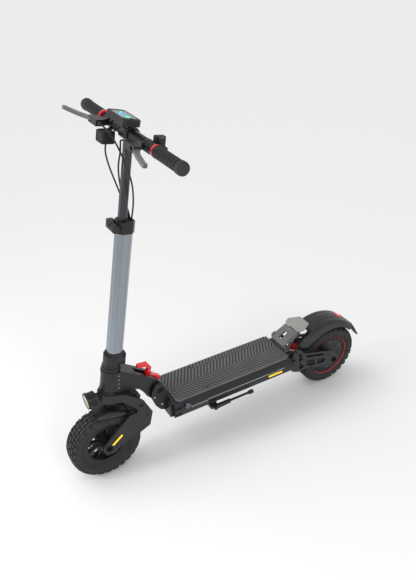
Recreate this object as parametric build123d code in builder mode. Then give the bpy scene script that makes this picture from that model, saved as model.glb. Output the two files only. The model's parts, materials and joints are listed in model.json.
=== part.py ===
from build123d import *
from math import cos, radians, sin, tan
import os

os.makedirs("parts", exist_ok=True)

# Electric kick scooter. Millimetres, +X forward, +Y to the rider's left, +Z up.
# The origin is on the ground, under the middle of the whole scooter.

# ---- driving sizes -------------------------------------------------------------
wheelbase = 958
wheel_radius = 127.5
tyre_width = 76
tail_overhang = 25        # the flap's reach behind the rear tyre
rim_radius = 84           # outer radius of the rim's lips
rim_width = 56
bead_radius = 76          # the tyre's inner edge sits here
running_gap = 0.05        # radial clearance of a shaft that turns in its hole
side_gap = 0.5            # clearance between flat faces that slide past each other

front_x = wheelbase / 2 + tail_overhang / 2
rear_x = front_x - wheelbase
mid_x = (front_x + rear_x) / 2
axle_z = wheel_radius
axle_radius = 6

deck_length = 493
deck_front_x = mid_x + 248
deck_rear_x = deck_front_x - deck_length
deck_half_width = 90
deck_top_z = 240
deck_height = 56
deck_wall = 6
deck_end_wall = 10
mat_thickness = 5
mat_half_width = 77
cover_thickness = 3
battery_headroom = 8      # between the battery and the roof of the deck's bay

rake = 8.9                # the steering axis leans back by this many degrees
steer_ground_x = front_x + 16
crown_top = 340.5         # this and the next heights run along the steering axis
head_top = 432
clamp_top = 492
tube_bottom = 470
tube_top = 912
collar_height = 36
upper_bottom = 690
bar_height = 1191
head_radius = 31
steerer_radius = 15
clamp_radius = 27

tube_length = 48          # fore and aft, across the flats
tube_width = 44
tube_corner = 11
tube_wall = 3.6
tube_setback = 8          # the wide tube's middle lies this far behind the axis
upper_length = 24
upper_width = 23
upper_corner = 5
slide_gap = 0.4           # between the upper tube and the collar around it

bar_radius = 11.1
bar_thick_radius = 15.9
bar_thick_half = 96
bar_half_length = 297
grip_inner_y = 166
grip_radius = 16.5
grip_end_radius = 18.5

fold_x = deck_front_x + 25
fold_z = deck_top_z + 43
fold_pin_radius = 6
neck_half = 30
cheek_inner_y = 33
cheek_thickness = 10

pivot_x = front_x - 121   # the front arms turn about this point
pivot_z = 276
pivot_radius = 7
arm_inner_y = 42.5
arm_thickness = 9
leg_inner_y = arm_inner_y + arm_thickness + 1
leg_thickness = 9.5

swing_x = deck_rear_x - 25
swing_z = 200
swing_pin_radius = 7
swing_inner_y = 58
swing_thickness = 10

fender_gap = 14.5         # between the tyre and the front fender
rear_fender_radius = 178
rear_fender_lead = 35     # the rear fender's middle is this far ahead of the axle

cable_radius = 2.4

stem = Plane(
    origin=(steer_ground_x, 0, 0),
    x_dir=(cos(radians(rake)), 0, sin(radians(rake))),
    z_dir=(-sin(radians(rake)), 0, cos(radians(rake))),
)


# ---- shared shapes -------------------------------------------------------------
def save(part, name):
    part.label = name
    export_step(part, "parts/" + name + ".step")


def side(y):
    """Sketch plane across the scooter at y; its drawing is seen from the right."""
    return Plane.XZ.offset(-y)


def block(x, y, z, mode=Mode.ADD):
    """A box between pairs of values."""
    middle = ((x[0] + x[1]) / 2, (y[0] + y[1]) / 2, (z[0] + z[1]) / 2)
    with Locations(middle):
        Box(x[1] - x[0], y[1] - y[0], z[1] - z[0], mode=mode)


def disc(x, z, radius, y, mode=Mode.ADD):
    """A round piece whose axis runs across the scooter."""
    with BuildSketch(side(y[1])) as face:
        with Locations((x, z)):
            Circle(radius)
    extrude(face.sketch, amount=y[1] - y[0], mode=mode)


def slab(points, y, mode=Mode.ADD):
    """A plate with this side outline, between two values of y."""
    with BuildSketch(side(y[1])) as face:
        Polygon(*points, align=None)
    extrude(face.sketch, amount=y[1] - y[0], mode=mode)


def post(radius, height, forward=0, y=0, mode=Mode.ADD):
    """A round piece along the stem between two heights."""
    with BuildSketch(stem.offset(height[0])) as face:
        with Locations((forward, y)):
            Circle(radius)
    extrude(face.sketch, amount=height[1] - height[0], mode=mode)


def layer(points, height, mode=Mode.ADD):
    """A piece with this outline square to the stem, between two heights."""
    with BuildSketch(stem.offset(height[0])) as face:
        Polygon(*points, align=None)
    extrude(face.sketch, amount=height[1] - height[0], mode=mode)


def along_stem(forward, y, height):
    """Turn a place given in the stem's directions into the scooter's own."""
    return stem.from_local_coords(Vector(forward, y, height))


def bar_disc(forward, height, radius, y, mode=Mode.ADD):
    """A round piece parallel to the handlebar, placed in the stem's directions."""
    centre = along_stem(forward, 0, height)
    disc(centre.X, centre.Z, radius, y, mode)


def octagon(length, width, corner, centre=0):
    """Corner points of an eight-sided tube."""
    a = length / 2
    b = width / 2
    return [
        (centre - a, -b + corner), (centre - a + corner, -b),
        (centre + a - corner, -b), (centre + a, -b + corner),
        (centre + a, b - corner), (centre + a - corner, b),
        (centre - a + corner, b), (centre - a, b - corner),
    ]


def rectangle(forward, y):
    """Corner points between two pairs of values."""
    return [(forward[0], y[0]), (forward[1], y[0]), (forward[1], y[1]), (forward[0], y[1])]


def both_sides(y):
    """The same stretch on the left and on the right."""
    return (y, (-y[1], -y[0]))


def turned(points, x):
    """Spin a half section about a wheel's axle; points are (radius, y)."""
    with BuildSketch(Plane(origin=(x, 0, axle_z), x_dir=(1, 0, 0), z_dir=(0, 0, 1))) as face:
        Polygon(*points, align=None)
    revolve(face.sketch, axis=Axis((x, 0, axle_z), (0, 1, 0)))


def wheel_angle(x, radius, angle, z=axle_z):
    """Point on a circle about a wheel's axle, from straight ahead and upwards."""
    return (x + radius * cos(radians(angle)), z + radius * sin(radians(angle)))


# ---- deck ----------------------------------------------------------------------
deck_bottom_z = deck_top_z - deck_height
deck_section = [
    (-79, deck_top_z), (-84, deck_top_z - 7), (-deck_half_width, deck_top_z - 21),
    (-deck_half_width, deck_top_z - 45), (-85, deck_bottom_z), (85, deck_bottom_z),
    (deck_half_width, deck_top_z - 45), (deck_half_width, deck_top_z - 21),
    (84, deck_top_z - 7), (79, deck_top_z),
]
port_x = deck_front_x - 47
port_z = deck_top_z - 14
port_face_y = deck_half_width + 1
port_radius = 11
bay_half_width = 76
bay_x = (deck_rear_x + deck_end_wall, deck_front_x - deck_end_wall)
bay_y = (-bay_half_width, bay_half_width)
bay_z = (deck_bottom_z, deck_top_z - deck_wall)

with BuildPart() as deck_shell:
    with BuildSketch(Plane.YZ.offset(deck_rear_x)):
        Polygon(*deck_section, align=None)
    extrude(amount=deck_length)
    block(bay_x, bay_y, bay_z, Mode.SUBTRACT)
    disc(port_x, port_z, port_radius, (bay_half_width - 4, port_face_y))
    disc(port_x, port_z, 6, (bay_half_width - 2, port_face_y), Mode.SUBTRACT)
    for level in (deck_top_z - 17, deck_bottom_z + 14):
        for y in both_sides((deck_half_width - 4, deck_half_width + 1)):
            block((deck_front_x - 26, deck_front_x + 1), y, (level - 3, level + 3), Mode.SUBTRACT)
save(deck_shell.part, "deck_shell")

mat_front_x = deck_front_x - 14
mat_rear_x = deck_rear_x + 4
with BuildPart() as deck_mat:
    with BuildSketch(Plane.XY.offset(deck_top_z)):
        with Locations(((mat_front_x + mat_rear_x) / 2, 0)):
            Rectangle(mat_front_x - mat_rear_x, 2 * mat_half_width)
    extrude(amount=mat_thickness)
    chamfer(deck_mat.edges().filter_by(Axis.Z), 10)
    for y in both_sides((52, 54)):
        block((mat_rear_x, mat_front_x), y, (deck_top_z + mat_thickness - 1.5, 300), Mode.SUBTRACT)
save(deck_mat.part, "deck_mat")

with BuildPart() as bottom_cover:
    block((deck_rear_x + 3, deck_front_x - 3), (-82, 82),
          (deck_bottom_z - cover_thickness, deck_bottom_z))
    fillet(bottom_cover.edges().filter_by(Axis.Z), 8)
save(bottom_cover.part, "bottom_cover")

with BuildPart() as battery_pack:
    block((mid_x - 140, mid_x + 200), (-64, 64), (deck_bottom_z, bay_z[1] - battery_headroom))
    fillet(battery_pack.edges().filter_by(Axis.X), 6)
save(battery_pack.part, "battery_pack")

with BuildPart() as motor_controller:
    block((mid_x - 228, mid_x - 150), (-50, 50), (deck_bottom_z, deck_bottom_z + 24))
    for step in range(5):
        fin_x = mid_x - 222 + 15 * step
        block((fin_x, fin_x + 6), (-50, 50), (deck_bottom_z + 24, deck_bottom_z + 32))
save(motor_controller.part, "motor_controller")

reflector_z = deck_top_z - 36
with BuildPart() as deck_reflectors:
    for y in both_sides((deck_half_width, deck_half_width + 2)):
        block((mid_x - 200, mid_x - 140), y, (reflector_z - 3.5, reflector_z + 3.5))
save(deck_reflectors.part, "deck_reflectors")

with BuildPart() as charge_cap:
    disc(port_x, port_z, 10, (port_face_y + 0.1, port_face_y + 4.1))
    with Locations((port_x, port_face_y + 2.1, port_z - 11.5)):
        Cylinder(1.9, 8, rotation=(0, 90, 0))
save(charge_cap.part, "charge_cap")

# ---- folding hinge on the deck's nose ------------------------------------------
cheek_y = (cheek_inner_y, cheek_inner_y + cheek_thickness)
cheek_outline = [
    (deck_front_x, deck_top_z - 46), (deck_front_x + 31, deck_top_z - 33),
    (deck_front_x + 48, deck_top_z - 11), (deck_front_x + 63, deck_top_z + 30),
    (deck_front_x + 61, deck_top_z + 53), (deck_front_x + 46, deck_top_z + 80),
    (deck_front_x + 28, deck_top_z + 78), (deck_front_x + 12, deck_top_z + 58),
    (deck_front_x + 4, deck_top_z + 26), (deck_front_x, deck_top_z),
]
with BuildPart() as hinge_block:
    block((deck_front_x, deck_front_x + 10), (-74, 74), (deck_bottom_z, deck_top_z - 2))
    for y in both_sides(cheek_y):
        slab(cheek_outline, y)
    for y in both_sides((cheek_y[1], cheek_y[1] + 3)):
        disc(fold_x, fold_z, 17, y)
    disc(fold_x, fold_z, fold_pin_radius, (-60, 60), Mode.SUBTRACT)
save(hinge_block.part, "hinge_block")

with BuildPart() as fold_pin:
    disc(fold_x, fold_z, fold_pin_radius, (-cheek_y[1] - 3, cheek_y[1] + 3))
    for y in both_sides((cheek_y[1] + 3, cheek_y[1] + 7)):
        disc(fold_x, fold_z, 11, y)
save(fold_pin.part, "fold_pin")

# ---- rear block, footrest and kickstand ----------------------------------------
rear_block_half = swing_inner_y - side_gap
rear_block_x = swing_x - 18
with BuildPart() as rear_block:
    block((swing_x, deck_rear_x), (-rear_block_half, rear_block_half), (deck_bottom_z, deck_top_z + 2))
    disc(swing_x, swing_z, 18, (-rear_block_half, rear_block_half))
    block((rear_block_x - 1, swing_x + 6), (-30, 30), (deck_bottom_z - 1, deck_top_z + 3), Mode.SUBTRACT)
    disc(swing_x, swing_z, swing_pin_radius, (-90, 90), Mode.SUBTRACT)
save(rear_block.part, "rear_block")

foot_x = deck_rear_x
foot_z = deck_top_z + 2
foot_side = [
    (foot_x - 2, foot_z), (foot_x + 7, foot_z + 26), (foot_x - 14, foot_z + 44),
    (foot_x - 58, foot_z + 66), (foot_x - 62, foot_z + 60), (foot_x - 40, foot_z + 30),
    (foot_x - 22, foot_z),
]
foot_window = [
    (foot_x - 6, foot_z + 6), (foot_x - 2, foot_z + 22), (foot_x - 16, foot_z + 34),
    (foot_x - 36, foot_z + 28), (foot_x - 22, foot_z + 6),
]
foot_top = [
    (foot_x + 7, foot_z + 26), (foot_x - 14, foot_z + 44), (foot_x - 58, foot_z + 66),
    (foot_x - 62, foot_z + 60), (foot_x - 16, foot_z + 37), (foot_x + 4, foot_z + 20),
]
eye_half = 8              # half the width of the shock's eyes
eye_pin_radius = 5
upper_eye_x = foot_x - 77
upper_eye_z = deck_top_z + 28
shock_lug = [
    (foot_x - 48, foot_z + 56), (foot_x - 56, foot_z + 67), (foot_x - 102, foot_z + 72),
    (foot_x - 104, foot_z + 66), (foot_x - 88, foot_z + 34), (upper_eye_x - 7, upper_eye_z - 8),
    (upper_eye_x + 7, upper_eye_z - 8), (upper_eye_x + 12, upper_eye_z + 4),
]
loop_x = foot_x - 10
loop_z = foot_z + 28
with BuildPart() as footrest_bracket:
    block((foot_x - 24, foot_x - 1), (-46, 46), (foot_z, foot_z + 6))
    for y in both_sides((28, 36)):
        slab(foot_side, y)
        slab(foot_window, y, Mode.SUBTRACT)
    slab(foot_top, (-36, 36))
    with BuildSketch(Plane(origin=(foot_x - 30, 0, foot_z + 30), z_dir=(0.42, 0, 0.9))):
        Rectangle(36, 16)
    extrude(amount=40, both=True, mode=Mode.SUBTRACT)
    for y in both_sides((36, 42)):
        disc(loop_x, loop_z, 13, y)
        disc(loop_x, loop_z, 8, (y[0] - 9, y[1] + 9), Mode.SUBTRACT)
    for y in both_sides((eye_half + side_gap, eye_half + side_gap + 6)):
        slab(shock_lug, y)
    disc(upper_eye_x, upper_eye_z, eye_pin_radius, (-eye_half - 3, eye_half + 3))
save(footrest_bracket.part, "footrest_bracket")

plate_outline = [(-57, -37), (-79, -49), (-120, -27), (-120, 27), (-79, 49), (-57, 37)]
with BuildPart() as footrest_plate:
    with BuildSketch(Plane(origin=(foot_x, 0, foot_z + 62), x_dir=(1, 0, -0.13), z_dir=(0.13, 0, 1))):
        Polygon(*plate_outline, align=None)
    extrude(amount=3)
save(footrest_plate.part, "footrest_plate")

stand_x = mid_x + 95
stand_z = deck_bottom_z - 9
stand_length = 158
stand_pin_radius = 4
leg_y_range = (deck_half_width + 3 + side_gap, deck_half_width + 15)
with BuildPart() as kickstand_bracket:
    block((stand_x - 14, stand_x + 14), (deck_half_width - 30, deck_half_width - 4),
          (deck_bottom_z - cover_thickness - 14, deck_bottom_z - cover_thickness))
    slab([(stand_x - 12, stand_z - 13), (stand_x + 2, stand_z - 13), (stand_x + 14, stand_z + 26),
          (stand_x - 8, stand_z + 26)], (deck_half_width, deck_half_width + 3))
    block((stand_x - 12, stand_x + 12), (deck_half_width - 12, deck_half_width + 3),
          (stand_z - 12, deck_bottom_z - cover_thickness))
    disc(stand_x, stand_z, stand_pin_radius, (deck_half_width, leg_y_range[1] + 2))
    disc(stand_x, stand_z, 7, (leg_y_range[1] + side_gap, leg_y_range[1] + 4))
save(kickstand_bracket.part, "kickstand_bracket")

leg_middle_y = leg_y_range[1] - 5
with BuildPart() as kickstand_leg:
    disc(stand_x, stand_z, 9, leg_y_range)
    slab([(stand_x, stand_z - 8), (stand_x - 62, stand_z - 4), (stand_x - 62, stand_z + 8),
          (stand_x, stand_z + 8)], (leg_y_range[1] - 10, leg_y_range[1]))
    with Locations((stand_x - 100, leg_middle_y, stand_z + 3)):
        Cylinder(4.5, 90, rotation=(0, 90, 0))
    with Locations((stand_x - stand_length + 8, leg_middle_y, stand_z + 3)):
        Cylinder(7.5, 16, rotation=(0, 90, 0))
    disc(stand_x, stand_z, stand_pin_radius + running_gap, (60, 140), Mode.SUBTRACT)
save(kickstand_leg.part, "kickstand_leg")

# ---- neck with its head tube ---------------------------------------------------
neck_outline = [
    (front_x - 72, fold_z + 138), (fold_x + 36, fold_z + 69), (fold_x + 4, fold_z + 42),
    (fold_x - 12, fold_z + 20), (fold_x - 16, fold_z), (fold_x - 8, fold_z - 16),
    (fold_x + 18, fold_z - 24), (fold_x + 36, fold_z - 20), (fold_x + 50, fold_z - 4),
    (fold_x + 60, fold_z + 16), (fold_x + 76, fold_z + 37), (fold_x + 92, fold_z + 44),
    (front_x - 46, fold_z + 52), (front_x - 46, fold_z + 120),
]
neck_hollow = [
    (front_x - 96, fold_z + 108), (fold_x + 60, fold_z + 72), (fold_x + 44, fold_z + 40),
    (fold_x + 62, fold_z - 10), (front_x - 80, fold_z + 20),
]
channel_outline = [
    (fold_x + 80, fold_z + 108), (fold_x + 74, fold_z + 78), (fold_x + 30, fold_z + 42),
    (fold_x + 2, fold_z + 22), (fold_x - 20, fold_z + 12), (fold_x - 20, fold_z + 60),
]
head_bottom = crown_top + side_gap
bearing_length = 12
bearing_radius = 24
latch_x = fold_x + 32
latch_z = fold_z + 55
latch_pin_radius = 4
with BuildPart() as neck_frame:
    slab(neck_outline, (-neck_half, neck_half))
    post(head_radius, (head_bottom, head_top))
    post(head_radius + 2, (head_bottom, head_bottom + 8))
    post(head_radius + 2, (head_top - 14, head_top - 6))
    post(head_radius + 40, (head_bottom - 60, head_bottom), mode=Mode.SUBTRACT)
    post(head_radius + 20, (head_top, head_top + 40), mode=Mode.SUBTRACT)
    slab(neck_hollow, (-neck_half + 5, neck_half - 5), Mode.SUBTRACT)
    slab(channel_outline, (-12, 12), Mode.SUBTRACT)
    post(head_radius - 10, (head_bottom, head_top), mode=Mode.SUBTRACT)
    post(bearing_radius, (head_bottom, head_bottom + bearing_length), mode=Mode.SUBTRACT)
    post(bearing_radius, (head_top - bearing_length, head_top), mode=Mode.SUBTRACT)
    for y in both_sides((neck_half, cheek_inner_y - side_gap)):
        disc(fold_x, fold_z, 15, y)
    disc(fold_x, fold_z, fold_pin_radius + running_gap, (-60, 60), Mode.SUBTRACT)
    disc(latch_x, latch_z, latch_pin_radius + running_gap, (-60, 60), Mode.SUBTRACT)
save(neck_frame.part, "neck_frame")

with BuildPart() as head_bearings:
    for low in (head_bottom, head_top - bearing_length):
        post(bearing_radius, (low, low + bearing_length))
    post(steerer_radius + running_gap, (head_bottom, head_top), mode=Mode.SUBTRACT)
save(head_bearings.part, "head_bearings")

latch_outline = [
    (latch_x - 2, latch_z - 6), (latch_x - 30, latch_z - 22), (latch_x - 44, latch_z - 28),
    (latch_x - 49, latch_z - 20), (latch_x - 40, latch_z - 12), (latch_x - 10, latch_z + 4),
    (latch_x - 10, latch_z + 18), (latch_x - 16, latch_z + 34), (latch_x - 3, latch_z + 54),
    (latch_x + 32, latch_z + 58), (latch_x + 34, latch_z + 48), (latch_x + 4, latch_z + 44),
    (latch_x - 4, latch_z + 32), (latch_x + 4, latch_z + 16), (latch_x + 6, latch_z),
]
with BuildPart() as latch_lever:
    slab(latch_outline, (-8, 8))
    fillet(latch_lever.edges().filter_by(Axis.Y).group_by(Axis.Z)[-1], 3)
    disc(latch_x, latch_z, latch_pin_radius, (-neck_half, neck_half))
save(latch_lever.part, "latch_lever")

# ---- fork: steerer, crown, clamp and the fixed stem tube -----------------------
with BuildPart() as steerer_tube:
    post(steerer_radius, (crown_top - 30, tube_bottom - 4))
    post(steerer_radius - 3.5, (crown_top - 30, tube_bottom - 4), mode=Mode.SUBTRACT)
save(steerer_tube.part, "steerer_tube")

leg_y = (leg_inner_y, leg_inner_y + leg_thickness)
crown_side = [
    (pivot_x + 128, crown_top + 10), (pivot_x + 38, crown_top + 10), (pivot_x + 38, 328),
    (pivot_x + 22, 321), (pivot_x + 6, 306), (pivot_x - 8, 291),
    (pivot_x - 10, pivot_z - 10), (pivot_x + 12, pivot_z - 12), (pivot_x + 34, pivot_z + 10),
    (pivot_x + 58, pivot_z + 26), (pivot_x + 128, pivot_z + 32),
]
crown_front = 36
crown_plan = [
    (crown_front, 14), (22, 30), (0, 36), (-30, 42), (-60, leg_y[1] - 2), (-74, leg_y[1]),
    (-122, leg_y[1]), (-122, -leg_y[1]), (-74, -leg_y[1]), (-60, 2 - leg_y[1]),
    (-30, -42), (0, -36), (22, -30), (crown_front, -14),
]
with BuildPart() as fork_crown:
    slab(crown_side, (-leg_y[1], leg_y[1]))
    with BuildSketch(stem.offset(crown_top - 120)):
        Polygon(*crown_plan, align=None)
    extrude(amount=120, mode=Mode.INTERSECT)
    layer(rectangle((-130, -80), (-leg_inner_y, leg_inner_y)), (200, 400), Mode.SUBTRACT)
    layer(rectangle((-130, -46), (-leg_inner_y, leg_inner_y)), (200, crown_top - 26), Mode.SUBTRACT)
    for y in both_sides(leg_y):
        disc(pivot_x, pivot_z, 16, y)
    for y in both_sides((arm_inner_y - 2, leg_inner_y)):
        disc(pivot_x, pivot_z, pivot_radius, y)
    for y in both_sides((38, leg_inner_y)):
        slab([(pivot_x + 10, pivot_z + 40), (pivot_x + 40, pivot_z + 40),
              (pivot_x + 34, pivot_z + 8), (pivot_x + 14, pivot_z + 14)], y)
    post(steerer_radius, (crown_top - 80, crown_top + 10), mode=Mode.SUBTRACT)
save(fork_crown.part, "fork_crown")

tube_rear = -tube_setback - tube_length / 2
clamp_pocket = octagon(tube_length + 0.2, tube_width + 0.2, tube_corner, -tube_setback)
clamp_cup = octagon(tube_length + 7, tube_width + 7, tube_corner + 1, -tube_setback)
with BuildPart() as stem_clamp:
    post(clamp_radius, (head_top + side_gap, clamp_top - 8))
    post(clamp_radius + 3, (head_top + side_gap, head_top + 8))
    layer(clamp_cup, (tube_bottom - 8, clamp_top))
    layer(rectangle((tube_rear - 12, -10), (-13, 13)), (head_top + 10, clamp_top - 8))
    layer(clamp_pocket, (tube_bottom, clamp_top), Mode.SUBTRACT)
    post(steerer_radius, (head_top, tube_bottom - 4), mode=Mode.SUBTRACT)
    post(steerer_radius - 3.5, (head_top, tube_bottom + 2), mode=Mode.SUBTRACT)
    layer(rectangle((tube_rear - 14, -steerer_radius + 1), (-1.5, 1.5)),
          (head_top, tube_bottom - 10), Mode.SUBTRACT)
save(stem_clamp.part, "stem_clamp")

tube_outline = octagon(tube_length, tube_width, tube_corner, -tube_setback)
tube_inside = octagon(tube_length - 2 * tube_wall, tube_width - 2 * tube_wall,
                      tube_corner - 2, -tube_setback)
with BuildPart() as stem_tube:
    layer(tube_outline, (tube_bottom, tube_top))
    layer(tube_inside, (tube_bottom, tube_top), Mode.SUBTRACT)
save(stem_tube.part, "stem_tube")

collar_bottom = tube_top - 8
collar_top = tube_top + collar_height - 8
collar_outline = octagon(tube_length + 6, tube_width + 6, tube_corner + 1, -tube_setback)
slide_hole = octagon(upper_length + 2 * slide_gap, upper_width + 2 * slide_gap, upper_corner)
cable_port_x = -27
lever_forward = 27
lever_y = -(tube_width / 2 + 3 + 5)
lever_pin_radius = 2.5
with BuildPart() as stem_collar:
    layer(collar_outline, (collar_bottom, collar_top))
    for y in both_sides((2, 21)):
        bar_disc(lever_forward, collar_bottom + 17, 13, y)
    layer(octagon(tube_length + 0.2, tube_width + 0.2, tube_corner, -tube_setback),
          (collar_bottom, tube_top), Mode.SUBTRACT)
    layer(slide_hole, (collar_bottom, collar_top), Mode.SUBTRACT)
    layer(rectangle((cable_port_x - 4, cable_port_x + 6), (-12, 12)),
          (collar_bottom, collar_top), Mode.SUBTRACT)
    for low in (collar_bottom + 4, collar_bottom + 24 + side_gap):
        layer(rectangle((14, 33), (lever_y - 6, -18)), (low, low + 5.5))
    post(lever_pin_radius, (collar_bottom + 5, collar_bottom + 29), lever_forward, lever_y)
save(stem_collar.part, "stem_collar")

with BuildPart() as collar_lever:
    layer(rectangle((lever_forward - 52, lever_forward), (lever_y - 3, lever_y + 2)),
          (collar_bottom + 11, collar_bottom + 23))
    post(8, (collar_bottom + 10, collar_bottom + 24), lever_forward, lever_y)
    post(lever_pin_radius + running_gap, (collar_bottom, collar_top), lever_forward, lever_y, Mode.SUBTRACT)
save(collar_lever.part, "collar_lever")

# ---- front fender and headlight ------------------------------------------------
fender_inner = wheel_radius + fender_gap
fender_half = arm_inner_y - 2


def fender_shell(x, z, inner, half, wall, skirt):
    """A curved cover: an arch section turned about a cross axis."""
    section = [
        (inner - skirt, half - wall), (inner - 6, half - wall), (inner, half - 10),
        (inner, 10 - half), (inner - 6, wall - half), (inner - skirt, wall - half),
        (inner - skirt, -half), (inner - 5 + wall, -half), (inner + wall, 10 - half),
        (inner + wall, half - 10), (inner - 5 + wall, half), (inner - skirt, half),
    ]
    with BuildSketch(Plane(origin=(x, 0, z), x_dir=(1, 0, 0), z_dir=(0, 0, 1))) as face:
        Polygon(*section, align=None)
    revolve(face.sketch, axis=Axis((x, 0, z), (0, 1, 0)))


def keep_wedge(x, z, reach, start, end):
    """Keep only the part between two directions seen from the left."""
    steps = 8
    turn = (end - start) / steps
    rim = [wheel_angle(x, reach, start + turn * k, z) for k in range(steps + 1)]
    with BuildSketch(side(120)) as face:
        Polygon((x, z), *rim, align=None)
    extrude(face.sketch, amount=240, mode=Mode.INTERSECT)


with BuildPart() as front_fender:
    fender_shell(front_x, axle_z, fender_inner + 1, fender_half, 2.5, 8)
    keep_wedge(front_x, axle_z, 260, 80, 122)
    layer(rectangle((-24, 10), (-15, 15)), (crown_top - 60, crown_top - 38))
    disc(front_x, axle_z, fender_inner + 1, (-fender_half, fender_half), Mode.SUBTRACT)
save(front_fender.part, "front_fender")

lamp_z = 325
lamp_radius = 28
lamp_depth = 34
lamp = Plane(origin=(front_x + 12, 0, lamp_z), x_dir=(0, 1, 0), z_dir=(1, 0, -0.06))
with BuildPart() as headlight_housing:
    with BuildSketch(lamp):
        Circle(lamp_radius - 5)
    extrude(amount=lamp_depth)
    for step in range(4):
        with BuildSketch(lamp.offset(3 + 7 * step)):
            Circle(lamp_radius - 2)
        extrude(amount=3.5)
    with BuildSketch(lamp.offset(lamp_depth - 9)):
        Circle(lamp_radius)
    extrude(amount=9)
    with BuildSketch(lamp.offset(lamp_depth - 7)):
        Circle(lamp_radius - 3)
    extrude(amount=7, mode=Mode.SUBTRACT)
    layer(rectangle((crown_front, crown_front + 12), (-11, 11)), (lamp_z - 13, lamp_z + 7))
save(headlight_housing.part, "headlight_housing")

with BuildPart() as headlight_lens:
    with BuildSketch(lamp.offset(lamp_depth - 7)):
        Circle(lamp_radius - 3.1)
    extrude(amount=6)
    fillet(headlight_lens.edges().group_by(Axis.X)[-1], 2)
save(headlight_lens.part, "headlight_lens")

# ---- front suspension arms -----------------------------------------------------
arm_outline = [
    (pivot_x - 15, pivot_z + 5), (pivot_x - 44, pivot_z - 55), (pivot_x - 32, pivot_z - 110),
    (pivot_x + 10, pivot_z - 129), (pivot_x + 60, pivot_z - 141), (front_x - 14, axle_z - 24),
    (front_x + 12, axle_z - 22), (front_x + 24, axle_z), (front_x + 20, axle_z + 18),
    (front_x - 41, axle_z + 76), (pivot_x + 40, pivot_z - 36), (pivot_x + 12, pivot_z - 34),
    (pivot_x + 12, pivot_z + 5),
]
arm_y = (arm_inner_y, arm_inner_y + arm_thickness)
seat_outline = [
    (pivot_x + 8, pivot_z - 40), (pivot_x + 8, pivot_z - 31),
    (pivot_x + 36, pivot_z - 31), (pivot_x + 36, pivot_z - 42),
]
with BuildPart() as front_arms:
    for y in both_sides(arm_y):
        slab(arm_outline, y)
        disc(pivot_x, pivot_z, 14.5, y)
    for y in both_sides((30, arm_inner_y)):
        slab(seat_outline, y)
    disc(pivot_x, pivot_z, pivot_radius + running_gap, (-90, 90), Mode.SUBTRACT)
    disc(front_x, axle_z, axle_radius, (-90, 90), Mode.SUBTRACT)
save(front_arms.part, "front_arms")

with BuildPart() as front_arm_reflectors:
    for y in both_sides((arm_y[1], arm_y[1] + 2)):
        slab([(front_x - 50, axle_z + 41), (front_x - 13, axle_z + 12),
              (front_x - 9, axle_z + 18), (front_x - 46, axle_z + 47)], y)
save(front_arm_reflectors.part, "front_arm_reflectors")

hub_radius = 22
hub_half = 26
with BuildPart() as front_axle:
    disc(front_x, axle_z, axle_radius, (-arm_y[1] - 12, arm_y[1] + 12))
    for y in both_sides((hub_half + 3, arm_inner_y)):
        disc(front_x, axle_z, 11, y)
    for y in both_sides((arm_y[1], arm_y[1] + 8)):
        with BuildSketch(side(y[1])):
            with Locations((front_x, axle_z)):
                RegularPolygon(11, 6)
                Circle(axle_radius, mode=Mode.SUBTRACT)
        extrude(amount=y[1] - y[0])
save(front_axle.part, "front_axle")

spring_x = pivot_x + 25
spring_low = pivot_z - 31
spring_high = pivot_z + 8.5
spring_y = 40
with BuildPart() as front_springs:
    for y in (spring_y, -spring_y):
        with BuildLine(Plane(origin=(spring_x, y, spring_low + 4))) as coil:
            Helix(pitch=8, height=spring_high - spring_low - 8, radius=7.5)
        with BuildSketch(Plane(origin=coil.line @ 0, z_dir=coil.line % 0)):
            Circle(2)
        sweep(path=coil.line)
        with Locations((spring_x, y, spring_low + 2), (spring_x, y, spring_high - 2)):
            Cylinder(9.5, 3)
save(front_springs.part, "front_springs")

# ---- front wheel ---------------------------------------------------------------
rim_half = rim_width / 2
rim_section = [
    (rim_radius - 18, -rim_half + 5), (rim_radius - 13, -rim_half + 2),
    (rim_radius, -rim_half), (rim_radius, -rim_half + 3), (bead_radius, -rim_half + 5),
    (bead_radius - 5, -8), (bead_radius - 5, 8), (bead_radius, rim_half - 5),
    (rim_radius, rim_half - 3), (rim_radius, rim_half), (rim_radius - 13, rim_half - 2),
    (rim_radius - 18, rim_half - 5), (rim_radius - 18, 10), (rim_radius - 19, 0),
    (rim_radius - 18, -10),
]
spoke_count = 5
spoke_half = 8
with BuildPart() as front_rim:
    turned(rim_section, front_x)
    disc(front_x, axle_z, hub_radius, (-hub_half, hub_half))
    with BuildSketch(side(spoke_half)):
        with Locations((front_x, axle_z)):
            with PolarLocations(hub_radius + 24, 2 * spoke_count, 12):
                Rectangle(58, 8)
    extrude(amount=2 * spoke_half)
    disc(front_x, axle_z, axle_radius + running_gap, (-hub_half, hub_half), Mode.SUBTRACT)
save(front_rim.part, "front_rim")

disc_y = (-hub_half - 2, -hub_half)
disc_radius = 58
with BuildPart() as front_disc:
    disc(front_x, axle_z, disc_radius, disc_y)
    with BuildSketch(side(disc_y[1])):
        with Locations((front_x, axle_z)):
            with PolarLocations(30, 6):
                SlotOverall(22, 9, rotation=90)
            with PolarLocations(50, 18):
                Circle(2.5)
    extrude(amount=2, mode=Mode.SUBTRACT)
    disc(front_x, axle_z, axle_radius + 1, disc_y, Mode.SUBTRACT)
save(front_disc.part, "front_disc")

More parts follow.
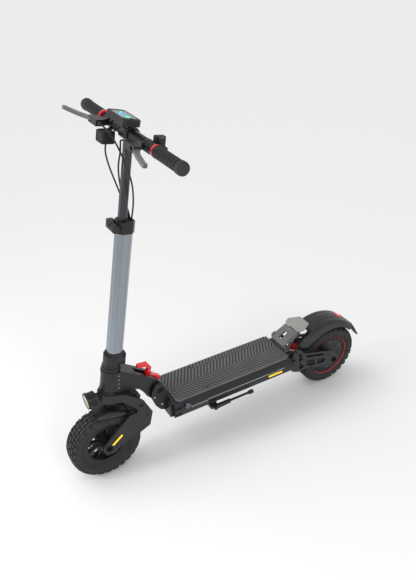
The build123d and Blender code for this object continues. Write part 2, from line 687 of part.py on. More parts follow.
with BuildPart() as front_caliper:
    block((front_x - 56, front_x - 28), (-arm_inner_y, -hub_half + 4), (axle_z + 6, axle_z + 40))
    block((front_x - 70, front_x - 20), (disc_y[0] - 1.5, disc_y[1] + 1.5),
          (axle_z, axle_z + 60), Mode.SUBTRACT)
    block((front_x - 70, front_x - 50), (-arm_inner_y, -hub_half + 9),
          (axle_z + 30, axle_z + 60), Mode.SUBTRACT)
    disc(front_x, axle_z, 32, (-arm_inner_y, -hub_half + 9), Mode.SUBTRACT)
save(front_caliper.part, "front_caliper")

half_tyre = tyre_width / 2
tyre_half_section = [
    (wheel_radius - 10, 0), (wheel_radius - 14, half_tyre - 12), (rim_radius + 16, half_tyre - 7),
    (rim_radius + 4, rim_half - 9), (bead_radius, rim_half - 11), (bead_radius, rim_half - 5),
    (rim_radius, rim_half - 3), (rim_radius, rim_half), (rim_radius + 8, rim_half + 5),
    (rim_radius + 18, half_tyre), (rim_radius + 28, half_tyre - 1), (wheel_radius - 8, half_tyre - 6),
    (wheel_radius - 2, half_tyre - 12), (wheel_radius, 12),
]
tyre_section = tyre_half_section + [(radius, -y) for radius, y in reversed(tyre_half_section[1:])]
for x, name in ((front_x, "front_tyre"), (rear_x, "rear_tyre")):
    with BuildPart() as tyre:
        turned(tyre_section, x)
    save(tyre.part, name)

# ---- handlebar -----------------------------------------------------------------
def bar_layer(points, low, high, mode=Mode.ADD):
    """A piece drawn looking down on the handlebar, between heights above its axis."""
    layer(points, (bar_height + low, bar_height + high), mode)


def mirrored(points):
    """The same outline on the other side of the scooter."""
    return [(forward, -y) for forward, y in points]


screen_tilt = 14
display_thickness = 18
display_rise = 42.34      # from the middle of the bar up to the middle of the housing
bar_z = bar_height * cos(radians(rake))
display = Plane(
    origin=(steer_ground_x - (bar_height - 5) * sin(radians(rake)) + 12, 0, bar_z + display_rise),
    x_dir=(cos(radians(screen_tilt)), 0, sin(radians(screen_tilt))),
    z_dir=(-sin(radians(screen_tilt)), 0, cos(radians(screen_tilt))),
)
with BuildPart() as upper_tube:
    layer(octagon(upper_length, upper_width, upper_corner), (upper_bottom, bar_height - 6))
    layer(octagon(upper_length - 5, upper_width - 5, upper_corner - 1),
          (upper_bottom, bar_height - 24), Mode.SUBTRACT)
    bar_disc(0, bar_height, 22, (-24, 24))
    bar_layer(rectangle((-6, 14), (-16, 16)), 16, 36)
    bar_disc(0, bar_height, bar_thick_radius, (-24, 24), Mode.SUBTRACT)
    with BuildSketch(display.offset(-display_thickness / 2)):
        Rectangle(90, 60)
    extrude(amount=20, mode=Mode.SUBTRACT)
save(upper_tube.part, "upper_tube")

with BuildPart() as handlebar:
    bar_disc(0, bar_height, bar_thick_radius, (-bar_thick_half, bar_thick_half))
    bar_disc(0, bar_height, bar_radius, (-bar_half_length, bar_half_length))
    fillet(handlebar.edges().group_by(Axis.Y)[2], 1)
    bar_disc(0, bar_height, bar_radius - 2, (-bar_half_length, bar_half_length), Mode.SUBTRACT)
save(handlebar.part, "handlebar")

with BuildPart() as grips:
    for y in both_sides((grip_inner_y, bar_half_length + 3)):
        bar_disc(0, bar_height, grip_radius, y)
    for y in both_sides((bar_half_length - 18, bar_half_length + 3)):
        bar_disc(0, bar_height, grip_end_radius, y)
    chamfer(grips.edges().group_by(Axis.Y)[0], 4)
    chamfer(grips.edges().group_by(Axis.Y)[-1], 4)
    bar_disc(0, bar_height, bar_radius, (-bar_half_length, bar_half_length), Mode.SUBTRACT)
save(grips.part, "grips")

with BuildPart() as grip_rings:
    for y in both_sides((grip_inner_y - 8, grip_inner_y)):
        bar_disc(0, bar_height, grip_radius + 1, y)
    bar_disc(0, bar_height, bar_radius, (-bar_half_length, bar_half_length), Mode.SUBTRACT)
save(grip_rings.part, "grip_rings")

perch_y = (104, 120)
lever_pivot = (46, 138)
perch_arm = [(12, 105), (38, 92), (56, 92), (56, 146), (38, 148), (23, 119), (12, 119)]
perch_slot = [(30, 126), (66, 126), (66, 156), (30, 156)]
with BuildPart() as brake_perches:
    for y in both_sides(perch_y):
        bar_disc(0, bar_height, bar_radius + 6, y)
    for shape in (perch_arm, mirrored(perch_arm)):
        bar_layer(shape, -9, 9)
    for shape in (perch_slot, mirrored(perch_slot)):
        bar_layer(shape, -4.5 - side_gap, 4.5 + side_gap, Mode.SUBTRACT)
    for y in both_sides((76, 92)):
        bar_disc(47, bar_height, 5, y)
    for y in (lever_pivot[1], -lever_pivot[1]):
        post(3, (bar_height - 7, bar_height + 7), lever_pivot[0], y)
    bar_disc(0, bar_height, bar_radius, (-bar_half_length, bar_half_length), Mode.SUBTRACT)
save(brake_perches.part, "brake_perches")

blade = [
    (38, 134), (38, 142), (50, 168), (62, 200), (76, 256), (80, 262), (88, 258),
    (86, 248), (74, 196), (64, 162), (55, 142), (54, 134), (46, 129),
]
for shape, pivot_y, ball_y, name in (
    (blade, lever_pivot[1], 259, "brake_lever_left"),
    (mirrored(blade), -lever_pivot[1], -259, "brake_lever_right"),
):
    with BuildPart() as lever:
        bar_layer(shape, -4.5, 4.5)
        post(7, (bar_height - 4.5, bar_height + 4.5), 82, ball_y)
        post(3 + running_gap, (bar_height - 9, bar_height + 9), lever_pivot[0], pivot_y, Mode.SUBTRACT)
    save(lever.part, name)

with BuildPart() as display_housing:
    with BuildSketch(display.offset(-display_thickness / 2)):
        RectangleRounded(56, 112, 14)
    extrude(amount=display_thickness)
    fillet(display_housing.faces().sort_by(Axis.Z)[-1].edges(), 3)
    with BuildSketch(display.offset(7.4)):
        RectangleRounded(42, 78, 8)
    extrude(amount=4, mode=Mode.SUBTRACT)
    with BuildSketch(display.offset(5)):
        with Locations((0, 47)):
            Circle(5)
    extrude(amount=5, mode=Mode.SUBTRACT)
save(display_housing.part, "display_housing")

with BuildPart() as display_screen:
    with BuildSketch(display.offset(7.4)):
        RectangleRounded(41.6, 77.6, 7.8)
    extrude(amount=1.4)
save(display_screen.part, "display_screen")

with BuildPart() as display_button:
    with BuildSketch(display.offset(6.6)):
        with Locations((0, 47)):
            Circle(4.7)
    extrude(amount=3.6)
save(display_button.part, "display_button")

pod_y = (122, 138)
pod_outline = [(-36, 122), (-8, 122), (-8, 138), (-36, 138)]
with BuildPart() as switch_pod:
    bar_disc(0, bar_height, bar_radius + 6, pod_y)
    bar_layer(pod_outline, -14, 30)
    bar_disc(0, bar_height, bar_radius, (-bar_half_length, bar_half_length), Mode.SUBTRACT)
save(switch_pod.part, "switch_pod")

throttle_y = (pod_y[1] + side_gap, 157)
with BuildPart() as thumb_throttle:
    bar_disc(0, bar_height, bar_radius + 5, throttle_y)
    bar_layer([(-30, 140), (-12, 140), (-12, 156), (-26, 156)], -8, 30)
    bar_layer([(-34, 140), (-24, 140), (-24, 156), (-34, 156)], -26, 6)
    bar_disc(0, bar_height, bar_radius + running_gap, (-bar_half_length, bar_half_length), Mode.SUBTRACT)
save(thumb_throttle.part, "thumb_throttle")

# ---- cables, held from the bar down to the collar ------------------------------
port_height = collar_top - 4
cable_routes = [
    [(47, -76, 1191), (47, -47, 1191), (43, -12, 1179), (34, 18, 1153), (18, 36, 1113),
     (-4, 37, 1062), (-17, 27, 1008), (-25, 12, 966), (-26, 6, port_height)],
    [(47, 76, 1191), (47, 48, 1191), (32, 22, 1161), (20, -2, 1134), (18, -14, 1096),
     (9, -19, 1052), (-6, -22, 1004), (-22, -11, 966), (-26, 0, port_height)],
    [(11.4, -60, 1179.6), (30, -62, 1163), (41, -60, 1130), (30, -49, 1086), (12, -38, 1042),
     (-6, -31, 1000), (-20, -20, 964), (-26, -6, port_height)],
]


def cable_path(route):
    """Straight runs joined by the largest tangent arcs that they leave room for."""
    points = [along_stem(*place) for place in route]
    radii = []
    for before, corner, after in zip(points, points[1:], points[2:]):
        turn = (corner - before).get_angle(after - corner)
        shorter = min((corner - before).length, (after - corner).length)
        radii.append(0.45 * shorter / tan(radians(turn / 2)))
    print("cable radii", [round(radius) for radius in radii])
    return points, radii


with BuildPart() as control_cables:
    for route in cable_routes:
        points, radii = cable_path(route)
        with BuildLine() as path:
            FilletPolyline(*points, radius=radii)
        with BuildSketch(Plane(origin=points[0], z_dir=points[1] - points[0])):
            Circle(cable_radius)
        sweep(path=path.line)
save(control_cables.part, "control_cables")

# ---- rear swingarm -------------------------------------------------------------
arm_plate = [
    (swing_x - 11, swing_z + 55), (swing_x - 37, swing_z + 42), (swing_x - 50, swing_z + 22),
    (swing_x - 175, swing_z - 14), (rear_x + 14, axle_z + 50), (rear_x - 14, axle_z + 20),
    (rear_x - 22, axle_z), (rear_x - 14, axle_z - 20), (rear_x + 14, axle_z - 24),
    (swing_x - 60, swing_z - 54), (swing_x - 37, swing_z - 60), (swing_x - 8, swing_z - 50),
    (swing_x + 14, swing_z - 14), (swing_x + 17, swing_z + 2), (swing_x + 4, swing_z + 30),
]
arm_windows = [
    [(-24, 32), (-40, 22), (-44, -4), (-27, -9)],
    [(-26, -20), (-45, -16), (-54, -42), (-34, -48)],
    [(-62, 9), (-150, -16), (-150, -25), (-63, -2)],
    [(-64, -16), (-108, -28), (-108, -54), (-72, -46)],
    [(-120, -31), (-158, -41), (-154, -60), (-120, -55)],
]
plate_y = (swing_inner_y, swing_inner_y + swing_thickness)


def swing_plate(y):
    """One side of the swingarm: a plate with windows and two holes."""
    slab(arm_plate, y)
    disc(swing_x, swing_z, 17, y)
    for window in arm_windows:
        slab([(swing_x + dx, swing_z + dz) for dx, dz in window], y, Mode.SUBTRACT)
    disc(swing_x, swing_z, swing_pin_radius + running_gap, y, Mode.SUBTRACT)
    disc(rear_x, axle_z, axle_radius + 1, y, Mode.SUBTRACT)


lower_eye_x = swing_x - 42
lower_eye_z = swing_z - 37
bridge_outline = [
    (swing_x - 8, swing_z - 56), (swing_x - 32, swing_z - 56),
    (swing_x - 32, swing_z - 46), (swing_x - 14, swing_z - 38),
]
bridge_lug = [
    (swing_x - 10, swing_z - 58), (swing_x - 34, swing_z - 58), (lower_eye_x - 8, lower_eye_z - 8),
    (lower_eye_x - 8, lower_eye_z + 8), (lower_eye_x + 8, lower_eye_z + 8), (swing_x - 12, swing_z - 38),
]
with BuildPart() as swingarm_left:
    swing_plate(plate_y)
    slab(bridge_outline, (-swing_inner_y, swing_inner_y))
    for y in both_sides((eye_half + side_gap, eye_half + side_gap + 6)):
        slab(bridge_lug, y)
    disc(lower_eye_x, lower_eye_z, eye_pin_radius, (-eye_half - 3, eye_half + 3))
save(swingarm_left.part, "swingarm_left")

with BuildPart() as swingarm_right:
    swing_plate((-plate_y[1], -plate_y[0]))
save(swingarm_right.part, "swingarm_right")

with BuildPart() as swing_pin:
    disc(swing_x, swing_z, swing_pin_radius, (-plate_y[1] - 2, plate_y[1] + 2))
    for y in both_sides((plate_y[1] + side_gap, plate_y[1] + 6)):
        disc(swing_x, swing_z, 12, y)
save(swing_pin.part, "swing_pin")

hub_side_y = 34
with BuildPart() as rear_axle:
    disc(rear_x, axle_z, axle_radius + 1, (-plate_y[1] - 10, plate_y[1] + 10))
    for y in both_sides((hub_side_y + side_gap, plate_y[0])):
        disc(rear_x, axle_z, 13, y)
    for y in both_sides((plate_y[1], plate_y[1] + 7)):
        with BuildSketch(side(y[1])):
            with Locations((rear_x, axle_z)):
                RegularPolygon(12, 6)
        extrude(amount=y[1] - y[0])
save(rear_axle.part, "rear_axle")

rotor_inner = 64
stator_half = 17
cavity_half = 20
hub_bore = axle_radius + 1 + running_gap
hub_half_section = [
    (rotor_inner, cavity_half), (hub_bore, cavity_half), (hub_bore, hub_side_y), (20, hub_side_y),
    (25, 31), (66, 30), (72, 27), (rim_radius, rim_half), (rim_radius, rim_half - 3),
    (bead_radius, rim_half - 5), (bead_radius - 5, 8),
]
with BuildPart() as motor_hub:
    turned(hub_half_section + [(radius, -y) for radius, y in reversed(hub_half_section)], rear_x)
save(motor_hub.part, "motor_hub")

with BuildPart() as motor_stator:
    disc(rear_x, axle_z, rotor_inner - 1, (-stator_half, stator_half))
    with BuildSketch(side(stator_half)):
        with Locations((rear_x, axle_z)):
            with PolarLocations(50, 18):
                Rectangle(18, 5)
    extrude(amount=2 * stator_half, mode=Mode.SUBTRACT)
    disc(rear_x, axle_z, axle_radius + 1, (-stator_half, stator_half), Mode.SUBTRACT)
save(motor_stator.part, "motor_stator")

guard_x = rear_x + rear_fender_lead
guard_z = axle_z - 3
guard_half = 46
guard_wall = 3
guard_end = 137           # the shell ends at this angle and the flap carries on
with BuildPart() as rear_fender:
    fender_shell(guard_x, guard_z, rear_fender_radius, guard_half, guard_wall, 46)
    keep_wedge(guard_x, guard_z, 260, 42, guard_end)
    block((rear_x + 117, rear_x + 250), (-27, 27), (guard_z, guard_z + 300), Mode.SUBTRACT)
    for y in both_sides((guard_half - guard_wall, swing_inner_y)):
        disc(swing_x - 76, swing_z + 16, 7, y)
save(rear_fender.part, "rear_fender")

flap_x = rear_x - wheel_radius - tail_overhang
with BuildPart() as tail_flap:
    slab([wheel_angle(guard_x, rear_fender_radius + 0.5, guard_end, guard_z),
          wheel_angle(guard_x, rear_fender_radius + 6, guard_end, guard_z),
          (flap_x + 30, axle_z + 88), (flap_x, axle_z + 44), (flap_x + 5, axle_z + 42),
          (flap_x + 40, axle_z + 88)], (-36, 36))
    with BuildSketch(Plane.XY.offset(axle_z)):
        Polygon((flap_x - 5, -18), (flap_x + 26, 0), (flap_x - 5, 18), align=None)
        Polygon((flap_x - 5, 26), (flap_x + 40, 40), (flap_x - 5, 40), align=None)
        Polygon((flap_x - 5, -26), (flap_x - 5, -40), (flap_x + 40, -40), align=None)
    extrude(amount=200, mode=Mode.SUBTRACT)
save(tail_flap.part, "tail_flap")

light_angle = 118
light_lean = radians(light_angle - 90)
light_x, light_z = wheel_angle(guard_x, rear_fender_radius, light_angle, guard_z)
light_face = Plane(
    origin=(light_x, 0, light_z),
    x_dir=(cos(light_lean), 0, sin(light_lean)),
    z_dir=(-sin(light_lean), 0, cos(light_lean)),
)
with BuildPart() as tail_light:
    with BuildSketch(light_face):
        RectangleRounded(14, 30, 5)
    extrude(amount=guard_wall + 4)
    disc(guard_x, guard_z, rear_fender_radius + guard_wall, (-30, 30), Mode.SUBTRACT)
save(tail_light.part, "tail_light")

# ---- rear shock ----------------------------------------------------------------
shock_rise = Vector(upper_eye_x - lower_eye_x, 0, upper_eye_z - lower_eye_z)
shock_length = shock_rise.length
shock = Plane(origin=(lower_eye_x, 0, lower_eye_z), x_dir=(0, 1, 0), z_dir=shock_rise)
rod_radius = 5
spring_start = 21
spring_end = 86
coil_radius = 16.5
wire_radius = 2.6


def shock_disc(radius, low, high, mode=Mode.ADD):
    """A round piece along the shock, measured up from its lower eye."""
    with BuildSketch(shock.offset(low)) as face:
        Circle(radius)
    extrude(face.sketch, amount=high - low, mode=mode)


with BuildPart() as shock_body:
    shock_disc(11, 46, shock_length - 12)
    shock_disc(eye_half, 80, shock_length - 6)
    shock_disc(20, spring_end, spring_end + 5)
    disc(upper_eye_x, upper_eye_z, 9, (-eye_half, eye_half))
    shock_disc(rod_radius + running_gap, 40, shock_length - 14, Mode.SUBTRACT)
    disc(upper_eye_x, upper_eye_z, eye_pin_radius + running_gap, (-20, 20), Mode.SUBTRACT)
save(shock_body.part, "shock_body")

eye_play = 0.7            # the lower eye sits loosely on its pin
with BuildPart() as shock_rod:
    shock_disc(rod_radius, 6, 76)
    shock_disc(20, spring_start - 5, spring_start)
    disc(lower_eye_x, lower_eye_z, 9, (-eye_half, eye_half))
    disc(lower_eye_x, lower_eye_z, eye_pin_radius + eye_play, (-20, 20), Mode.SUBTRACT)
save(shock_rod.part, "shock_rod")

with BuildPart() as shock_spring:
    coil_height = spring_end - spring_start - 2 * wire_radius
    coil_start = shock.offset(spring_start + wire_radius).origin
    with BuildLine() as coil:
        Helix(pitch=12, height=coil_height, radius=coil_radius, center=coil_start, direction=shock.z_dir)
    with BuildSketch(Plane(origin=coil.line @ 0, z_dir=coil.line % 0)):
        Circle(wire_radius)
    sweep(path=coil.line)
save(shock_spring.part, "shock_spring")
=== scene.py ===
import bpy
import json
from math import cos, sin, pi, radians, sqrt
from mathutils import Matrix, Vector


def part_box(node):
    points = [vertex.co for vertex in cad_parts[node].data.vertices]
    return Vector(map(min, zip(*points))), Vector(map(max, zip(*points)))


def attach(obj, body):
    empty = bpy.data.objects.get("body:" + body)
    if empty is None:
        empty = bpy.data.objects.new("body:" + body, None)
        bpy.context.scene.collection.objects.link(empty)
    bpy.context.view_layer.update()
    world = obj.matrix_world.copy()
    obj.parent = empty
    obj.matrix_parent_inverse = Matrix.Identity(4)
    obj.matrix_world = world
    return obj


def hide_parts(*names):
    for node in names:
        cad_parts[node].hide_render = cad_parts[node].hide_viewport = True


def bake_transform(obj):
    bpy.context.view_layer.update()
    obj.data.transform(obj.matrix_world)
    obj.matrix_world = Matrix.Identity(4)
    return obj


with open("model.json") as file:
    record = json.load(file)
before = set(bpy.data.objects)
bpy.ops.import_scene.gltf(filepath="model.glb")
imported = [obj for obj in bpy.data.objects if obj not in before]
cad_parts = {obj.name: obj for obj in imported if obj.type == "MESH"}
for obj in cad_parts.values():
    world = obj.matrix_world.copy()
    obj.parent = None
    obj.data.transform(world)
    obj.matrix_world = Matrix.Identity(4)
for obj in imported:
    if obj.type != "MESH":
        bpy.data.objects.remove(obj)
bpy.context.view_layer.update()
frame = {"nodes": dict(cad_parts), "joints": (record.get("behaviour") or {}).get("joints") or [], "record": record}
joints = {j["name"]: j for j in frame["joints"]}
slots = {s["node"]: s["material_slot"] for s in frame["record"]["subparts"]}
mm = 0.001
print("frame loaded,", len(frame["nodes"]), "pieces")


# directions of the leaning stem and the places measured along it
steerAxis = Vector(joints["steering"]["axis"]).normalized()
across = Vector((0, 1, 0))
forward = across.cross(steerAxis)
stemFoot = Vector(joints["steering"]["pos_m"]) - steerAxis * 386 * mm
barHeight = 1191


def stemPoint(ahead, side, height):  # millimetres from the stem's foot
    return stemFoot + (forward * ahead + across * side + steerAxis * height) * mm


def nodeMiddle(node):
    low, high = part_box(node)
    return (Vector(low) + Vector(high)) / 2


# finishes
def linkNodes(tree, source, target):
    tree.links.new(source, target)


def makeFinish(name, look):
    mat = bpy.data.materials.new(name)
    mat.use_nodes = True
    tree = mat.node_tree
    shader = tree.nodes["Principled BSDF"]
    shader.inputs["Metallic"].default_value = look.get("metal", 0)
    shader.inputs["Specular IOR Level"].default_value = look.get("specular", 0.5)
    coat = look.get("coat", 0)
    if coat:
        shader.inputs["Coat Weight"].default_value = coat
        shader.inputs["Coat Roughness"].default_value = 0.12
    coords = tree.nodes.new("ShaderNodeTexCoord")
    stretch = tree.nodes.new("ShaderNodeMapping")
    stretch.inputs["Scale"].default_value = look.get("stretch", (1, 1, 1))
    linkNodes(tree, coords.outputs["Object"], stretch.inputs["Vector"])
    clouds = tree.nodes.new("ShaderNodeTexNoise")  # slow change of tone
    clouds.inputs["Scale"].default_value = look.get("cloudScale", 14)
    clouds.inputs["Detail"].default_value = 5
    linkNodes(tree, stretch.outputs["Vector"], clouds.inputs["Vector"])
    tone = tree.nodes.new("ShaderNodeValToRGB")
    base = look["colour"]
    spread = look.get("spread", 0.12)
    tone.color_ramp.elements[0].position = 0.3
    tone.color_ramp.elements[1].position = 0.7
    tone.color_ramp.elements[0].color = [c * (1 - spread) for c in base] + [1]
    tone.color_ramp.elements[1].color = [min(1, c * (1 + spread)) for c in base] + [1]
    linkNodes(tree, clouds.outputs["Fac"], tone.inputs["Fac"])
    linkNodes(tree, tone.outputs["Color"], shader.inputs["Base Color"])
    rough = tree.nodes.new("ShaderNodeMapRange")  # worn and polished patches
    rough.inputs["To Min"].default_value = look["rough"] - look.get("roughSpread", 0.06)
    rough.inputs["To Max"].default_value = look["rough"] + look.get("roughSpread", 0.06)
    linkNodes(tree, clouds.outputs["Fac"], rough.inputs["Value"])
    linkNodes(tree, rough.outputs["Result"], shader.inputs["Roughness"])
    if look.get("grain", "noise") == "cells":
        grain = tree.nodes.new("ShaderNodeTexVoronoi")
        grain.inputs["Scale"].default_value = look.get("grainScale", 600)
        height = grain.outputs["Distance"]
    else:
        grain = tree.nodes.new("ShaderNodeTexNoise")
        grain.inputs["Scale"].default_value = look.get("grainScale", 700)
        grain.inputs["Detail"].default_value = 3
        height = grain.outputs["Fac"]
    linkNodes(tree, stretch.outputs["Vector"], grain.inputs["Vector"])
    bump = tree.nodes.new("ShaderNodeBump")
    bump.inputs["Strength"].default_value = look.get("bump", 0.25)
    bump.inputs["Distance"].default_value = look.get("bumpDepth", 0.0003)
    linkNodes(tree, height, bump.inputs["Height"])
    linkNodes(tree, bump.outputs["Normal"], shader.inputs["Normal"])
    if "glow" in look:
        shader.inputs["Emission Color"].default_value = list(look["glow"]) + [1]
        shader.inputs["Emission Strength"].default_value = look.get("glowPower", 1)
    if "clear" in look:
        shader.inputs["Transmission Weight"].default_value = look["clear"]
        shader.inputs["IOR"].default_value = 1.45
    return mat


alongStem = (60, 60, 2)
looks = {
    "black_frame": dict(colour=(0.010, 0.0105, 0.012), rough=0.4, grainScale=1400, bump=0.12, specular=0.38),
    "grey_cast": dict(colour=(0.020, 0.021, 0.023), rough=0.4, metal=0.2, grain="cells", grainScale=900,
                      bump=0.16, specular=0.4),
    "silver_tube": dict(colour=(0.27, 0.30, 0.335), rough=0.24, metal=0.95, stretch=alongStem, cloudScale=4,
                        grainScale=40, bump=0.012, spread=0.025, roughSpread=0.025),
    "dark_tube": dict(colour=(0.055, 0.058, 0.064), rough=0.28, metal=0.8, stretch=alongStem, cloudScale=4,
                      grainScale=40, bump=0.012, spread=0.05, roughSpread=0.03),
    "bare_alloy": dict(colour=(0.4, 0.41, 0.42), rough=0.34, metal=0.85, grainScale=1200, bump=0.1,
                       spread=0.06),
    "steel": dict(colour=(0.42, 0.42, 0.43), rough=0.28, metal=1.0, grainScale=1500, bump=0.08),
    "rotor_steel": dict(colour=(0.4, 0.4, 0.41), rough=0.3, metal=1.0, stretch=(1, 30, 1), grainScale=500,
                        bump=0.1),
    "red_paint": dict(colour=(0.78, 0.006, 0.012), rough=0.3, grainScale=900, bump=0.06, coat=0.3,
                      spread=0.05),
    "black_plastic": dict(colour=(0.012, 0.012, 0.013), rough=0.5, grain="cells", grainScale=1600, bump=0.2,
                          specular=0.35),
    "fender_plastic": dict(colour=(0.014, 0.0145, 0.016), rough=0.36, grain="cells", grainScale=1800,
                           bump=0.1, specular=0.42),
    "red_plastic": dict(colour=(0.8, 0.01, 0.012), rough=0.18, grain="cells", grainScale=350, bump=0.4,
                        glow=(1, 0.03, 0.02), glowPower=0.5),
    # the reflector glows though it is no lamp: painted light that brightens its yellow
    "reflector": dict(colour=(1.0, 0.68, 0.0), rough=0.25, grain="cells", grainScale=420, bump=0.4, coat=0.3,
                      glow=(1.0, 0.62, 0.0), glowPower=0.35, spread=0.04),
    "lens": dict(colour=(0.95, 0.82, 0.38), rough=0.12, grain="cells", grainScale=260, bump=0.5, clear=0.75,
                 roughSpread=0.03),
    "screen": dict(colour=(0.008, 0.018, 0.04), rough=0.14, grainScale=40, bump=0.02, coat=0.4,
                   glow=(0.01, 0.07, 0.14), glowPower=0.7, roughSpread=0.03),
    "grip_rubber": dict(colour=(0.024, 0.024, 0.026), rough=0.6, grain="cells", grainScale=1300, bump=0.25,
                        specular=0.35),
    "mat_rubber": dict(colour=(0.115, 0.116, 0.114), rough=0.7, grainScale=900, bump=0.35, cloudScale=20,
                       specular=0.3),
    "black_rubber": dict(colour=(0.009, 0.009, 0.010), rough=0.5, grainScale=1200, bump=0.2, specular=0.35),
    "tyre_rubber": dict(colour=(0.021, 0.0212, 0.022), rough=0.62, grainScale=700, bump=0.3, cloudScale=30,
                        spread=0.2, specular=0.36),
    "chromed": dict(colour=(0.7, 0.7, 0.72), rough=0.1, metal=1.0, grainScale=300, bump=0.02,
                    roughSpread=0.03),
    "laminations": dict(colour=(0.12, 0.115, 0.11), rough=0.5, metal=0.7, stretch=(1, 40, 1), grainScale=60,
                        bump=0.4),
    "battery_wrap": dict(colour=(0.03, 0.08, 0.2), rough=0.3, grainScale=120, bump=0.15),
}
finishes = {name: makeFinish(name, look) for name, look in looks.items()}
extraLooks = {
    # the mat's grooves in a darker tone of the same rubber: painted shade in the recesses
    "painted groove shade": dict(colour=(0.042, 0.042, 0.042), rough=0.7, grainScale=900, bump=0.3, specular=0.25),
    "bracket cast": dict(colour=(0.125, 0.128, 0.133), rough=0.42, metal=0.3, grain="cells", grainScale=900,
                         bump=0.16),
    "plate": dict(colour=(0.3, 0.3, 0.285), rough=0.45, metal=0.25, grainScale=1100, bump=0.12, spread=0.05),
    "dark bolt": dict(colour=(0.03, 0.03, 0.032), rough=0.35, metal=0.8, grainScale=1200, bump=0.1),
    "lever alloy": dict(colour=(0.11, 0.113, 0.12), rough=0.34, metal=0.6, grainScale=1200, bump=0.08),
    "cap metal": dict(colour=(0.13, 0.15, 0.175), rough=0.3, metal=0.9, grainScale=1200, bump=0.08),
    "screen cyan": dict(colour=(0.02, 0.4, 0.5), rough=0.3, glow=(0.03, 0.55, 0.95), glowPower=1.3),
    "screen green": dict(colour=(0.05, 0.5, 0.1), rough=0.3, glow=(0.05, 0.85, 0.2), glowPower=1.1),
    "lamp glow": dict(colour=(0.8, 0.66, 0.12), rough=0.3, glow=(1.0, 0.78, 0.15), glowPower=0.35),
}
extraFinishes = {name: makeFinish(name, look) for name, look in extraLooks.items()}
print("finishes made:", len(finishes) + len(extraFinishes))


# carried-over pieces: finish, softened edges
edgeSoftening = {
    "default": 0.8, "brake_lever_left": 3.2, "brake_lever_right": 3.2, "fork_crown": 1.8, "front_arms": 1.6,
    "neck_frame": 1.6, "hinge_block": 1.4, "stem_clamp": 1.6, "stem_collar": 1.8, "footrest_bracket": 1.6,
    "footrest_plate": 0.9, "swingarm_left": 1.5, "swingarm_right": 1.5, "deck_shell": 1.2,
    "thumb_throttle": 2.0, "switch_pod": 2.0, "brake_perches": 1.6, "latch_lever": 1.8,
    "kickstand_leg": 1.5, "tail_flap": 0.8, "display_housing": 1.0, "rear_block": 1.4, "front_rim": 1.2,
    "motor_hub": 1.2, "front_caliper": 1.2, "upper_tube": 0.9, "handlebar": 0.8, "collar_lever": 1.4,
    "headlight_housing": 0.8,
}
plainNodes = {"shock_spring", "front_springs", "display_screen", "display_button", "battery_pack",
              "motor_stator", "front_disc"}
ownFinish = {"footrest_bracket": "bracket cast", "footrest_plate": "plate", "front_axle": "dark bolt",
             "rear_axle": "dark bolt", "swing_pin": "dark bolt", "fold_pin": "dark bolt",
             "charge_cap": "cap metal", "front_springs": "dark bolt", "brake_lever_left": "lever alloy",
             "brake_lever_right": "lever alloy"}
weldReach = 0.00002  # metres
for nodeName, node in frame["nodes"].items():
    if nodeName in ownFinish:
        finish = extraFinishes[ownFinish[nodeName]]
    else:
        finish = finishes[slots[nodeName]]
    node.data.materials.clear()
    node.data.materials.append(finish)
    if nodeName in plainNodes:
        continue
    weld = node.modifiers.new("weld", "WELD")
    weld.merge_threshold = weldReach
    soften = node.modifiers.new("soften", "BEVEL")
    soften.width = edgeSoftening.get(nodeName, edgeSoftening["default"]) * mm
    soften.segments = 3 if soften.width > 0.0013 else 2
    soften.limit_method = "ANGLE"
    soften.angle_limit = radians(32)
    soften.use_clamp_overlap = True
    even = node.modifiers.new("even", "WEIGHTED_NORMAL")
    even.keep_sharp = False
print("carried-over pieces dressed")


# mesh helpers
def makeMesh(name, points, faces, finish, body, stands=(), sharp=35):
    name = name.replace(" ", "_")
    mesh = bpy.data.meshes.new(name)
    mesh.from_pydata([tuple(p) for p in points], [], faces)
    mesh.validate()
    mesh.polygons.foreach_set("use_smooth", [True] * len(mesh.polygons))
    mesh.set_sharp_from_angle(angle=radians(sharp))
    mesh.materials.append(finish)
    piece = bpy.data.objects.new(name, mesh)
    bpy.context.scene.collection.objects.link(piece)
    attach(piece, body)
    if stands:
        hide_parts(*stands)
    return piece


def joinPieces(parts):  # several (points, faces) lists as one
    points, faces = [], []
    for somePoints, someFaces in parts:
        start = len(points)
        points += somePoints
        faces += [[start + i for i in face] for face in someFaces]
    return points, faces


def lathe(profile, centre, axis, segments=64, closed=False):
    # profile holds (radius, along) in millimetres, outer side first
    axis = Vector(axis).normalized()
    helper = Vector((0, 0, 1)) if abs(axis.z) < 0.9 else Vector((1, 0, 0))
    u = axis.cross(helper).normalized()
    v = axis.cross(u)
    points, faces = [], []
    count = len(profile)
    for k in range(segments):
        turn = 2 * pi * k / segments
        spoke = u * cos(turn) + v * sin(turn)
        points += [centre + (spoke * r + axis * a) * mm for r, a in profile]
    steps = count if closed else count - 1
    for k in range(segments):
        nextK = (k + 1) % segments
        for i in range(steps):
            j = (i + 1) % count
            faces.append([k * count + i, k * count + j, nextK * count + j, nextK * count + i])
    if not closed:
        faces.append([k * count for k in range(segments)])
        faces.append([k * count + count - 1 for k in reversed(range(segments))])
    return points, faces


def prism(outline, place, low, high, inset=0.0):
    # outline of (a, b) pairs; place(a, b, level) gives the point; the top may be drawn in
    middleA = sum(a for a, b in outline) / len(outline)
    middleB = sum(b for a, b in outline) / len(outline)
    count = len(outline)
    points = [place(a, b, low) for a, b in outline]
    points += [place(a + (middleA - a) * inset, b + (middleB - b) * inset, high) for a, b in outline]
    faces = [list(range(count))[::-1], [count + i for i in range(count)]]
    for i in range(count):
        j = (i + 1) % count
        faces.append([i, j, count + j, count + i])
    return points, faces


def socketScrew(centre, axis, radius, head):  # cap screw with a round recess
    return lathe([(0.01, -0.5 * head), (radius * 0.5, -0.5 * head), (radius * 0.55, 0), (radius * 0.86, 0),
                  (radius, -0.15 * head), (radius, -head)], centre, axis, 20)


